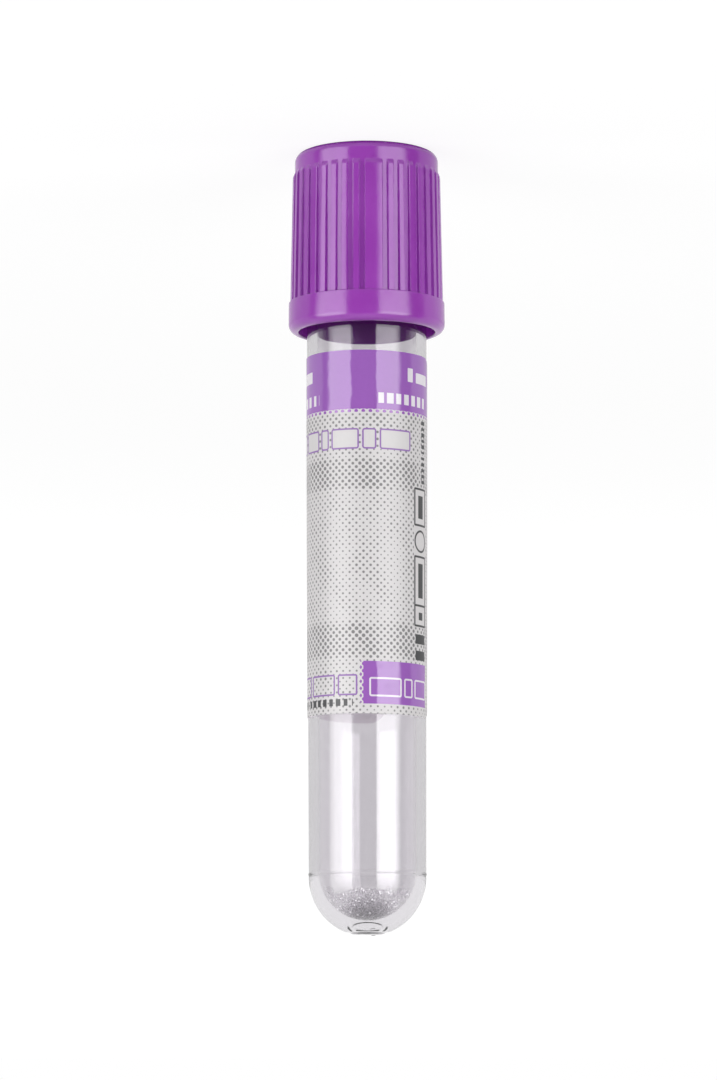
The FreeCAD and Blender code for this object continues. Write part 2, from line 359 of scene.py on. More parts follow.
class Bench:
    """Short ways to add and join the nodes of a material, a lamp or the world."""

    def __init__(self, tree: bpy.types.NodeTree) -> None:
        """Take over a node tree.

        Args:
            tree: the tree that nodes are added to.
        """
        self.tree = tree

    def node(self, kind: str, inputs: dict | None = None, **settings: object) -> bpy.types.Node:
        """Add a node.

        Args:
            kind: its type name without the leading ShaderNode.
            inputs: values or sockets for its inputs, by name or number.
            settings: its other settings.

        Returns:
            The node.
        """
        made = self.tree.nodes.new("ShaderNode" + kind)
        for key, setting in settings.items():
            setattr(made, key, setting)
        for key, value in (inputs or {}).items():
            self.feed(made.inputs[key], value)
        return made

    def feed(self, socket: bpy.types.NodeSocket, value: object) -> None:
        """Set an input, or join it to another node's output.

        Args:
            socket: the input.
            value: a socket to join it to, or a number, colour or vector to set it to.
        """
        if isinstance(value, bpy.types.NodeSocket):
            self.tree.links.new(value, socket)
        elif isinstance(value, tuple) and len(value) == 3 and socket.type == "RGBA":
            socket.default_value = (*value, 1.0)
        else:
            socket.default_value = value

    def maths(self, operation: str, *values: Value, clamp: bool = False) -> bpy.types.NodeSocket:
        """Do one sum on numbers and return its result."""
        inputs = dict(enumerate(values))
        return self.node("Math", inputs, operation=operation, use_clamp=clamp).outputs[0]

    def most(self, parts: list[Value]) -> bpy.types.NodeSocket:
        """Find the largest of several numbers, none of them below 0.

        Args:
            parts: the numbers.

        Returns:
            The largest.
        """
        largest: Value = 0.0
        for part in parts:
            largest = self.maths("MAXIMUM", largest, part)
        return largest

    def blend(self, share: Value, first: object, second: object) -> bpy.types.NodeSocket:
        """Colour between two colours: the first at share 0 and the second at 1."""
        made = self.node("Mix", {0: share, 6: first, 7: second}, data_type="RGBA")
        return made.outputs[2]

    def mixed(self, share: Value, first: object, second: object) -> bpy.types.NodeSocket:
        """Shader between two shaders: the first at share 0 and the second at 1."""
        return self.node("MixShader", {0: share, 1: first, 2: second}).outputs[0]

    def noise(
        self, vector: bpy.types.NodeSocket, scale: float, detail: float = 2.0
    ) -> bpy.types.NodeSocket:
        """Smooth noise from 0 to 1 over a vector."""
        return self.node("TexNoise", {"Vector": vector, "Scale": scale, "Detail": detail}).outputs[0]

    def ramp(
        self, value: Value, low: float, high: float, to_low: float, to_high: float
    ) -> bpy.types.NodeSocket:
        """Smooth step of a number from one range to another."""
        inputs = {0: value, 1: low, 2: high, 3: to_low, 4: to_high}
        return self.node("MapRange", inputs, interpolation_type="SMOOTHSTEP").outputs[0]

    def along(self, vector: bpy.types.NodeSocket, direction: object) -> bpy.types.NodeSocket:
        """Length of a vector along a unit direction."""
        made = self.node("VectorMath", {0: vector, 1: direction}, operation="DOT_PRODUCT")
        return made.outputs["Value"]

    def sight(self) -> tuple[bpy.types.NodeSocket, bpy.types.NodeSocket]:
        """Tell the rays that show the backdrop from those that light or reflect.

        Returns:
            1 on rays that go straight through clear plastic, and 1 on those and the camera's own.
        """
        path = self.node("LightPath").outputs
        straight = self.maths("LESS_THAN", path["Glossy Depth"], 0.5)
        through = self.maths("MULTIPLY", path["Is Transmission Ray"], straight)
        return through, self.maths("MAXIMUM", path["Is Camera Ray"], through)


class MaterialBench(Bench):
    """Bench for one material of a piece."""

    def __init__(self, name: str) -> None:
        """Start an empty material.

        Args:
            name: name of the material.
        """
        self.material = bpy.data.materials.new(name)
        self.material.use_nodes = True
        super().__init__(self.material.node_tree)
        self.tree.nodes.clear()

    def bump(
        self, height: Value, strength: float, depth_mm: float, normal: object = None
    ) -> bpy.types.NodeSocket:
        """Tilt a surface as a relief would.

        Args:
            height: the relief, from 0 to 1.
            strength: how much of it shows.
            depth_mm: its depth at 1, in mm.
            normal: the surface normal that it adds to, if not the surface's own.

        Returns:
            The surface normal.
        """
        inputs = {"Height": height, "Strength": strength, "Distance": depth_mm * MM}
        if normal is not None:
            inputs["Normal"] = normal
        return self.node("Bump", inputs).outputs[0]

    def position(self) -> bpy.types.NodeSocket:
        """Read the place on the object.

        Returns:
            The place, in mm.
        """
        coords = self.node("TexCoord").outputs["Object"]
        scale = self.node("VectorMath", {0: coords, "Scale": 1 / MM}, operation="SCALE")
        return scale.outputs[0]

    def letting_light_by(self, surface: bpy.types.NodeSocket, tint: Colour) -> bpy.types.NodeSocket:
        """Let lamps shine through a clear surface, tinted.

        Args:
            surface: the surface's own shader.
            tint: the share of light that one surface lets by.

        Returns:
            The joined shader.
        """
        by = self.node("BsdfTransparent", {"Color": tint}).outputs[0]
        return self.mixed(self.node("LightPath").outputs["Is Shadow Ray"], surface, by)

    def close(self, surface: bpy.types.NodeSocket, volume: object = None) -> bpy.types.Material:
        """Join the shaders to the output.

        Args:
            surface: the surface's shader.
            volume: the shader of what is inside, if any.

        Returns:
            The material.
        """
        inputs = {"Surface": surface} if volume is None else {"Surface": surface, "Volume": volume}
        self.node("OutputMaterial", inputs)
        return self.material


def dress(piece: bpy.types.Object, slot: Slot, *materials: bpy.types.Material) -> None:
    """Give a piece its materials.

    Args:
        piece: the piece.
        slot: its material slot in the record; not used.
        materials: its materials, in their order.
    """
    for material in materials:
        piece.data.materials.append(material)


@dataclass(frozen=True)
class ClearPlasticFinish:
    """Clear polished moulding: faintly grey-violet, with a trace of flow waviness."""

    tint: Colour = (0.782, 0.764, 0.79)
    shadow_tint: Colour = (0.97, 0.97, 0.97)
    depth_colour: Colour = (0.50, 0.47, 0.52)
    absorption: float = 32.0
    ior: float = 1.57
    wave_scale: float = 0.35
    wave_mm: float = 0.004

    def make(self) -> bpy.types.Material:
        """Build the material.

        Returns:
            The material.
        """
        bench = MaterialBench("clear_plastic")
        place = bench.position()
        waves = bench.noise(place, self.wave_scale, 1.0)
        smudge = bench.ramp(bench.noise(place, 0.6, 4.0), 0.45, 0.75, 0.0, 0.035)
        shader = bench.node(
            "BsdfPrincipled",
            {
                "Base Color": self.tint,
                "Roughness": smudge,
                "IOR": self.ior,
                "Transmission Weight": 1.0,
                "Normal": bench.bump(waves, 1.0, self.wave_mm),
            },
        )
        depth = {"Color": self.depth_colour, "Density": self.absorption}
        body = bench.node("VolumeAbsorption", depth).outputs[0]
        return bench.close(bench.letting_light_by(shader.outputs[0], self.shadow_tint), body)


@dataclass(frozen=True)
class CapPlasticFinish:
    """Moulded violet plastic: fine satin skin, faint flow clouds, slight waves, and painted shade on
    the inner faces.
    """

    colour: Colour = (0.285, 0.036, 0.395)
    cloud_colour: Colour = (0.315, 0.048, 0.43)
    # Painted shade: the darker colour given to the cap's inner faces.
    painted_shade_colour: Colour = (0.115, 0.008, 0.17)
    inside_radius: float = 7.2
    inside_from: tuple[float, float] = (3.0, 6.0)
    roughness: float = 0.15
    ior: float = 1.64
    skin_scale: float = 9.0
    wave_scale: float = 0.45

    def make(self) -> bpy.types.Material:
        """Build the material.

        Returns:
            The material.
        """
        bench = MaterialBench("cap_plastic")
        place = bench.position()
        clouds = bench.ramp(bench.noise(place, 0.22, 4.0), 0.35, 0.7, 0.0, 1.0)
        skin = bench.noise(place, self.skin_scale, 3.0)
        waves = bench.noise(place, self.wave_scale, 1.5)
        scuffs = bench.ramp(bench.noise(place, 1.3, 6.0), 0.52, 0.72, 0.0, 0.07)
        roughness = bench.maths("MULTIPLY_ADD", skin, 0.05, bench.maths("ADD", scuffs, self.roughness))
        normal = bench.bump(skin, 0.35, 0.012, bench.bump(waves, 1.0, 0.02))
        outside = bench.blend(clouds, self.colour, self.cloud_colour)
        # Painted shade: the inner faces of skirt and sleeve are coloured darker, as shade in the cap's
        # hollow.
        shader = bench.node(
            "BsdfPrincipled",
            {
                "Base Color": bench.blend(self.inside(bench, place), outside, self.painted_shade_colour),
                "Roughness": roughness,
                "IOR": self.ior,
                "Normal": normal,
            },
        )
        return bench.close(shader.outputs[0])

    def inside(self, bench: MaterialBench, place: bpy.types.NodeSocket) -> bpy.types.NodeSocket:
        """Find the inner faces of the skirt and sleeve, where shade is painted, by distance from the
        axis.

        Args:
            bench: the material's bench.
            place: place on the cap, in mm up from its top face and out from its axis.

        Returns:
            The share of painted shade: 1 on the inner faces and 0 elsewhere.
        """
        x, y, z = bench.node("SeparateXYZ", {0: place}).outputs
        radius = bench.maths("SQRT", bench.maths("MULTIPLY_ADD", x, x, bench.maths("MULTIPLY", y, y)))
        within = bench.ramp(radius, self.inside_radius, self.inside_radius + 0.12, 1.0, 0.0)
        return bench.maths("MULTIPLY", within, bench.ramp(z, *self.inside_from, 0.0, 1.0))


@dataclass(frozen=True)
class RubberFinish:
    """Grey butyl rubber: matt, fine-grained, with a faint bloom."""

    colour: Colour = (0.045, 0.036, 0.050)
    bloom_colour: Colour = (0.08, 0.07, 0.085)

    def make(self) -> bpy.types.Material:
        """Build the material.

        Returns:
            The material.
        """
        bench = MaterialBench("stopper_rubber")
        place = bench.position()
        bloom = bench.ramp(bench.noise(place, 0.5, 5.0), 0.4, 0.7, 0.0, 1.0)
        grain = bench.noise(place, 14.0, 3.0)
        shader = bench.node(
            "BsdfPrincipled",
            {
                "Base Color": bench.blend(bloom, self.colour, self.bloom_colour),
                "Roughness": bench.maths("MULTIPLY_ADD", bloom, 0.12, 0.55),
                "IOR": 1.52,
                "Normal": bench.bump(grain, 0.5, 0.02),
            },
        )
        return bench.close(shader.outputs[0])


@dataclass(frozen=True)
class AdditiveFinish:
    """Dried spray: cloudy droplets, darker and more covering towards the foot and the middle,
    scattered towards the edge.
    """

    colour: Colour = (0.68, 0.655, 0.69)
    foot_colour: Colour = (0.11, 0.10, 0.115)
    speck_colour: Colour = (0.10, 0.10, 0.11)
    pale_colour: Colour = (0.97, 0.97, 0.97)
    shadow_tint: Colour = (0.85, 0.85, 0.86)

    def make(self) -> bpy.types.Material:
        """Build the material, which reads "spread": where it is low the film is darker and covers
        more.

        Returns:
            The material.
        """
        bench = MaterialBench("dried_additive")
        place = bench.position()
        spread = bench.node("Attribute", attribute_name="spread").outputs["Fac"]
        low_spread = bench.ramp(spread, 0.3, 1.05, 1.0, 0.0)
        cells = bench.node("TexVoronoi", {"Vector": place, "Scale": 4.5})
        specks = bench.ramp(cells.outputs["Distance"], 0.10, 0.30, 1.0, 0.0)
        picked = bench.ramp(bench.noise(place, 5.0, 2.0), 0.5, 0.6, 0.0, 1.0)
        share = bench.maths("MULTIPLY", specks, picked)
        film = bench.blend(low_spread, self.colour, self.foot_colour)
        drops = bench.node("TexVoronoi", {"Vector": place, "Scale": 2.4}).outputs["Distance"]
        pale = bench.ramp(drops, 0.15, 0.24, 1.0, 0.0)
        film = bench.blend(pale, bench.blend(share, film, self.speck_colour), self.pale_colour)
        shader = bench.node(
            "BsdfPrincipled",
            {
                "Base Color": film,
                "Roughness": bench.maths("MULTIPLY_ADD", picked, 0.2, 0.15),
                "IOR": 1.45,
                "Transmission Weight": bench.maths("MULTIPLY_ADD", pale, -0.7, 0.75),
                "Normal": bench.bump(bench.noise(place, 7.0, 3.0), 0.8, 0.04),
            },
        )
        wet = bench.maths("MULTIPLY_ADD", low_spread, 0.34, bench.noise(place, 6.0, 3.0))
        covered = bench.maths("MAXIMUM", bench.ramp(wet, 0.54, 0.62, 0.0, 1.0), pale)
        bare = bench.node("BsdfTransparent").outputs[0]
        patchy = bench.mixed(covered, bare, shader.outputs[0])
        return bench.close(bench.letting_light_by(patchy, self.shadow_tint))


# ----------------------------------------------------------------------------- pieces


@dataclass
class ClearTube:
    """The tube, one moulding: round bottom with its gate mark, seam band, barrel, rim and bore."""

    frame: TubeFrame
    sizes: TubeSizes
    columns: int = 256
    rim_round: float = 0.25
    seam_above: float = 0.18
    seam_width: float = 0.25
    seam_proud: float = 0.045
    seam_slope: float = 0.05
    tip_radius: float = 2.0
    ring_radius: float = 1.95
    ring_width: float = 0.90
    ring_depth: float = 0.075
    stub_radius: float = 0.28
    stub_height: float = 0.05
    stub_offset: float = 0.60
    stub_slope: float = 2.5
    flat_within: float = 0.02
    finish: ClearPlasticFinish = field(default_factory=ClearPlasticFinish)

    def bottom(self) -> np.ndarray:
        """Draw the round bottom, flattened at its tip, with the shallow ring sunk in it.

        Returns:
            An array of (radius, height) points, from the axis outwards.
        """
        sizes = self.sizes
        drop = math.sqrt(sizes.ball_radius**2 - self.tip_radius**2)
        across = np.linspace(0, self.tip_radius, 31)
        rise = (sizes.ball_centre - drop) * (across / self.tip_radius) ** 4
        start = math.atan2(-drop, self.tip_radius)
        ball = arc_points(sizes.ball_centre, sizes.ball_radius, start, 0, 110)[1:]
        points = np.concatenate([np.stack([across, rise], axis=1), ball])
        away = np.abs(points[:, 0] - self.ring_radius) / (self.ring_width / 2)
        sunk = self.ring_depth * np.where(away < 1, 0.5 + 0.5 * np.cos(math.pi * away), 0)
        centre = np.array([0.0, sizes.ball_centre])
        return points - (points - centre) / sizes.ball_radius * sunk[:, None]

    def barrel(self) -> np.ndarray:
        """Draw the barrel with its seam band, the rounded rim and the bore.

        Returns:
            An array of (radius, height) points, up the outside and down the bore.
        """
        sizes = self.sizes
        low = sizes.ball_centre + self.seam_above
        high = low + self.seam_width
        proud, slope = self.seam_proud, self.seam_slope
        corners = [
            Corner(sizes.outside(low), low),
            Corner(sizes.outside(low) + proud, low + slope),
            Corner(sizes.outside(high) + proud, high - slope),
            Corner(sizes.outside(high), high),
            Corner(sizes.outside(sizes.length), sizes.length, self.rim_round),
            Corner(sizes.inside(sizes.length), sizes.length, self.rim_round),
            Corner(sizes.bore_end_radius, sizes.bore_end_centre),
        ]
        return soft_outline(corners, closed=False)

    def build(self) -> bpy.types.Object:
        """Build the tube and put it in place of its plain node.

        Returns:
            The tube's object.
        """
        sizes = self.sizes
        end = arc_points(sizes.bore_end_centre, sizes.bore_end_radius, 0, -math.pi / 2, 48)[1:]
        end[-1, 0] = 0.0
        outline = np.concatenate([self.bottom(), self.barrel(), end])
        tube = turned_object("clear_tube", self.frame, outline, self.columns, False, 50)
        self.add_stub(tube)
        dress(tube, Slot.CLEAR_PLASTIC, self.finish.make())
        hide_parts("tube")
        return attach(tube, Body.BARREL.value)

    def add_stub(self, tube: bpy.types.Object) -> None:
        """Raise the small gate stub out of the bottom flat.

        Args:
            tube: the tube's object.
        """
        frame = self.frame
        centre = frame.spot(self.stub_offset, math.pi / 2, 0)
        axis = Vector(frame.axis)
        for vertex in tube.data.vertices:
            away = vertex.co - centre
            along = away.dot(axis)
            across = (away - along * axis).length / (self.stub_radius * MM)
            if abs(along) < self.flat_within * MM and across < 1:
                share = min(1.0, self.stub_slope * (1 - across))
                vertex.co -= axis * self.stub_height * MM * share


@dataclass
class RibbedCap:
    """The cap, one moulding: ribs and one wide rib, skirt, sleeve, snap bead, hub and well."""

    frame: TubeFrame
    sizes: TubeSizes
    top_thickness: float = 1.3
    hub_height: float = 2.55
    hub_wall: float = 1.2
    well_radius: float = 4.35
    cap_wall: float = 0.83
    top_band: float = 2.05
    skirt_band: float = 3.17
    skirt_band_step: float = 0.16
    skirt_band_draft: float = math.radians(0.55)
    skirt_wall: float = 1.05
    flare_height: float = 2.7
    flare_draft: float = math.radians(2.0)
    sleeve_clearance: float = 0.30
    bead_clearance: float = 0.20
    bead_catch: float = 0.15
    bead_height: float = 0.5
    bead_slope: float = 0.1
    bead_gap: float = 0.05
    pocket_clearance: float = 0.05
    big_round: float = 0.9
    pitches: int = 40
    rib_height: float = 0.225
    rib_draft: float = math.radians(1.08)
    rib_ramp: float = 0.45
    groove_draft: float = math.radians(0.56)
    wall_inner: float = 1.665
    wall_outer: float = 2.585
    wall_steps: int = 7
    floor_columns: tuple[float, ...] = (0.0, 0.6, 1.2)
    rib_columns: tuple[float, ...] = (3.1, 3.8)
    wide_rib_at: float = 5.5
    finish: CapPlasticFinish = field(default_factory=CapPlasticFinish)

    @property
    def ceiling(self) -> float:
        """Height of the underside of the cap's top."""
        return self.sizes.flange_top + self.hub_height

    @property
    def top(self) -> float:
        """Height of the cap's upper face."""
        return self.ceiling + self.top_thickness

    @property
    def band_top(self) -> float:
        """Height where the skirt band ends and the ribs start."""
        return self.sizes.skirt_bottom + self.skirt_band

    @property
    def rib_end(self) -> float:
        """Height where the sloped rib ends meet the smooth top band."""
        return self.top - self.top_band

    @property
    def pocket_radius(self) -> float:
        """Inner radius of the cap round the stopper's flange."""
        mouth = self.sizes.outside(self.sizes.length)
        return mouth + self.bead_clearance + self.bead_catch + self.pocket_clearance

    @property
    def top_band_radius(self) -> float:
        """Outside radius of the smooth band at the top."""
        return self.pocket_radius + self.cap_wall

    def rib_radius(self, height: float) -> float:
        """Outside radius of the ribs at a height."""
        full = self.rib_end - self.rib_ramp
        return self.top_band_radius + self.rib_height + (full - height) * math.tan(self.rib_draft)

    def groove_floor(self, height: float) -> float:
        """Radius of the groove floors at a height."""
        return self.top_band_radius + (self.rib_end - height) * math.tan(self.groove_draft)

    def skirt_radius(self, height: float) -> float:
        """Outside radius of the skirt band at a height."""
        top = self.rib_radius(self.band_top) + self.skirt_band_step
        return top + (self.band_top - height) * math.tan(self.skirt_band_draft)

    def outline(self, in_groove: bool) -> np.ndarray:
        """Closed outline of the cap's section, through a rib or through a groove.

        Args:
            in_groove: whether the section runs along a groove floor.

        Returns:
            An array of (radius, height) points, as many for either section.
        """
        sizes = self.sizes
        bottom = sizes.skirt_bottom
        mouth = self.skirt_radius(bottom) - self.skirt_wall
        flare_top = bottom + self.flare_height
        flare_end = mouth - self.flare_height * math.tan(self.flare_draft)
        sleeve = sizes.outside(sizes.length) + self.sleeve_clearance
        bead = sizes.outside(sizes.length) + self.bead_clearance
        bead_top = sizes.length - self.bead_gap
        bead_low = bead_top - self.bead_height
        hub = self.well_radius + self.hub_wall
        full = self.rib_end - self.rib_ramp
        face = self.groove_floor if in_groove else self.rib_radius
        corners = [
            Corner(mouth, bottom, 0.13, 4),
            Corner(self.skirt_radius(bottom), bottom, self.big_round, 10),
            Corner(self.skirt_radius(self.band_top), self.band_top, 0.09, 4),
            Corner(face(self.band_top), self.band_top, 0.05, 4),
            Corner(face(full), full, 0.12, 4),
            Corner(self.top_band_radius, self.rib_end, 0.10, 4),
            Corner(self.top_band_radius, self.top, self.big_round, 10),
            Corner(self.well_radius, self.top, 0.45, 6),
            Corner(self.well_radius, sizes.flange_top),
            Corner(hub, sizes.flange_top),
            Corner(hub, self.ceiling, 0.25, 3),
            Corner(self.pocket_radius, self.ceiling, 0.25, 3),
            Corner(self.pocket_radius, bead_top),
            Corner(bead, bead_top - self.bead_slope),
            Corner(bead, bead_low + self.bead_slope),
            Corner(sleeve, bead_low),
            Corner(sleeve, flare_top + (flare_end - sleeve), 0.2, 3),
            Corner(flare_end, flare_top, 0.3, 4),
        ]
        return soft_outline(corners, closed=True)

    def columns(self) -> tuple[np.ndarray, np.ndarray]:
        """Angles round the cap, close together at the groove walls.

        Returns:
            The angles in radians, and at each the rib's share: 0 in a groove and 1 on a rib.
        """
        pitch = 360 / self.pitches
        walls = np.linspace(self.wall_inner, self.wall_outer, self.wall_steps)
        half = np.concatenate([self.floor_columns, walls, self.rib_columns])
        offsets = np.concatenate([-half[:0:-1], half, [pitch / 2]])
        climb = (np.abs(offsets) - self.wall_inner) / (self.wall_outer - self.wall_inner)
        share = 0.5 - 0.5 * np.cos(math.pi * np.clip(climb, 0, 1))
        angles, shares = [], []
        for step in range(self.pitches):
            angles.append(self.wide_rib_at + pitch * step + offsets)
            shares.append(np.ones_like(share) if step == 0 else share)
        return np.radians(np.concatenate(angles)), np.concatenate(shares)

    def build(self) -> bpy.types.Object:
        """Build the cap and put it in place of its plain node.

        Returns:
            The cap's object.
        """
        angles, share = self.columns()
        ribs, grooves = self.outline(in_groove=False), self.outline(in_groove=True)
        section = grooves[:, None, :] + (ribs - grooves)[:, None, :] * share[None, :, None]
        cap = wound_object(
            "ribbed_cap", self.frame, section[..., 0], section[..., 1], angles, True, 40
        )
        dress(cap, Slot.CAP_PLASTIC, self.finish.make())
        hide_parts("cap")
        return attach(cap, Body.CLOSURE.value)


@dataclass
class Stopper:
    """The rubber stopper: flange, plug, needle dish and hollow underside."""

    frame: TubeFrame
    sizes: TubeSizes
    columns: int = 160
    flange_radius: float = 6.6725
    plug_length: float = 6.5
    plug_clearance: float = 0.03
    plug_lead_in: float = 0.5
    hollow_radius: float = 2.8
    hollow_round: float = 0.9
    diaphragm: float = 3.7
    dish_radius: float = 4.1
    dish_depth: float = 1.2
    dish_slope: float = 0.5
    finish: RubberFinish = field(default_factory=RubberFinish)

    def build(self) -> bpy.types.Object:
        """Build the stopper and put it in place of its plain node.

        Returns:
            The stopper's object.
        """
        sizes = self.sizes
        plug_end = sizes.length - self.plug_length
        dish_floor = sizes.flange_top - self.dish_depth
        hollow_end = dish_floor - self.diaphragm
        plug = sizes.inside(plug_end) - self.plug_clearance
        corners = [
            Corner(0, hollow_end),
            Corner(self.hollow_radius, hollow_end, self.hollow_round),
            Corner(self.hollow_radius, plug_end, 0.1, 3),
            Corner(plug, plug_end, self.plug_lead_in),
            Corner(sizes.inside(sizes.length) - self.plug_clearance, sizes.length),
            Corner(self.flange_radius, sizes.length, 0.2, 4),
            Corner(self.flange_radius, sizes.flange_top, 0.2, 4),
            Corner(self.dish_radius, sizes.flange_top, 0.1, 3),
            Corner(self.dish_radius - self.dish_slope, dish_floor, 0.3, 5),
            Corner(0, dish_floor),
        ]
        outline = soft_outline(corners, closed=False)
        stopper = turned_object("rubber_stopper", self.frame, outline, self.columns, False, 40)
        dress(stopper, Slot.STOPPER_RUBBER, self.finish.make())
        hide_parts("stopper")
        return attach(stopper, Body.CLOSURE.value)


@dataclass
class AdditiveBed:
    """Dried additive: a thin bowl of sprayed film in the round bottom, beaded all over."""

    frame: TubeFrame
    sizes: TubeSizes
    lift: float = 0.012
    thickness: float = 0.03
    most: float = 0.095
    height: float = 3.6
    dip: float = 0.06
    waves: tuple[tuple[float, float, float], ...] = (
        (3, 0.027, 0.6),
        (7, 0.021, 2.1),
        (16, 0.015, 4.0),
        (37, 0.009, 1.0),
    )
    rings: int = 110
    columns: int = 240
    beads: int = 2600
    bead_proud: float = 0.45
    taper_share: float = 0.04
    side_spread: float = 0.9
    seed: int = 11
    finish: AdditiveFinish = field(default_factory=AdditiveFinish)

    def edge(self, angles: np.ndarray) -> np.ndarray:
        """Find the film's ragged upper edge.

        Args:
            angles: angles round the axis, in radians.

        Returns:
            How far the edge leans from the bottom at each angle, in radians.
        """
        full = math.acos(1 - self.height / self.sizes.bore_end_radius)
        wobble = sum(size * np.sin(times * angles + start) for times, size, start in self.waves)
        return full * (1 - self.dip + np.clip(wobble, -self.dip, self.dip))

    def beading(self, lean: np.ndarray, angles: np.ndarray) -> np.ndarray:
        """Height of the dried beads above the film, in mm.

        Args:
            lean: angle from the bottom at each grid point, in radians.
            angles: angle round the axis of each grid column, in radians.

        Returns:
            The heights, in the same grid.
        """
        rng = np.random.default_rng(self.seed)
        radius = self.sizes.bore_end_radius
        full = math.acos(1 - self.height / radius)
        bead_lean = np.arccos(1 - rng.random(self.beads) * (1 - math.cos(full)))
        bead_angle = rng.random(self.beads) * FULL_TURN
        bead_size = 0.05 + 0.10 * rng.random(self.beads) ** 2
        flat = np.sin(lean)
        spots = np.stack([flat * np.cos(angles), flat * np.sin(angles), np.cos(lean)], -1)
        height = np.zeros(lean.shape)
        for tip, turn, size in zip(bead_lean, bead_angle, bead_size):
            out = math.sin(tip)
            centre = np.array([out * math.cos(turn), out * math.sin(turn), math.cos(tip)])
            away = np.linalg.norm(spots - centre, axis=-1) * radius / size
            height = np.maximum(height, self.bead_proud * size * np.sqrt(np.clip(1 - away**2, 0, 1)))
        return np.minimum(height, self.most - self.thickness)

    def build(self) -> bpy.types.Object:
        """Build the film and put it in place of its plain node.

        Returns:
            The film's object.
        """
        sizes = self.sizes
        angles = np.arange(self.columns) * FULL_TURN / self.columns
        share = np.linspace(0, 1, self.rings)[:, None]
        lean = share * self.edge(angles)[None, :]
        outer = np.full(lean.shape, sizes.bore_end_radius - self.lift)
        taper = np.clip((1 - share) / self.taper_share, 0, 1)
        coat = self.thickness * taper + self.beading(lean, angles) * taper
        inner = (outer - coat)[-2::-1]
        lean = np.concatenate([lean, lean[-2::-1]])
        depth = np.concatenate([outer, inner])
        film = wound_object(
            "additive_film",
            self.frame,
            depth * np.sin(lean),
            sizes.bore_end_centre - depth * np.cos(lean),
            angles,
            False,
            60,
        )
        self.write_spread(film)
        dress(film, Slot.DRIED_ADDITIVE, self.finish.make())
        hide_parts("additive")
        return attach(film, Body.BARREL.value)

    def write_spread(self, film: bpy.types.Object) -> None:
        """Store a spread at each vertex: 0 at the bottom, rising up the film and towards its sides, 1
        or more at the upper edge.

        Args:
            film: the film's object.
        """
        sizes = self.sizes
        foot = self.frame.spot(0, 0, sizes.floor)
        places = np.array([vertex.co - foot for vertex in film.data.vertices])
        heights = np.clip(places @ self.frame.axis / (self.height * MM), 0, 1)
        sideways = (places @ self.frame.right / (sizes.bore_end_radius * MM)) ** 2
        spread = film.data.attributes.new("spread", "FLOAT", "POINT")
        thin = np.sqrt(heights) + self.side_spread * sideways
        spread.data.foreach_set("value", thin.astype(np.float32))


# ----------------------------------------------------------------------------- label and print


@dataclass(frozen=True)
class Patch:
    """Rounded box on the label: its edges in mm across and up the unrolled label."""

    left: float
    right: float
    bottom: float
    top: float
    corner: float = 0.15


@dataclass(frozen=True)
class BarRow:
    """Row of plain bars that stands where a line of small print would be."""

    left: float
    right: float
    bottom: float
    top: float
    pitch: float
    gap: float
    seed: float
    unevenness: float = 0.22


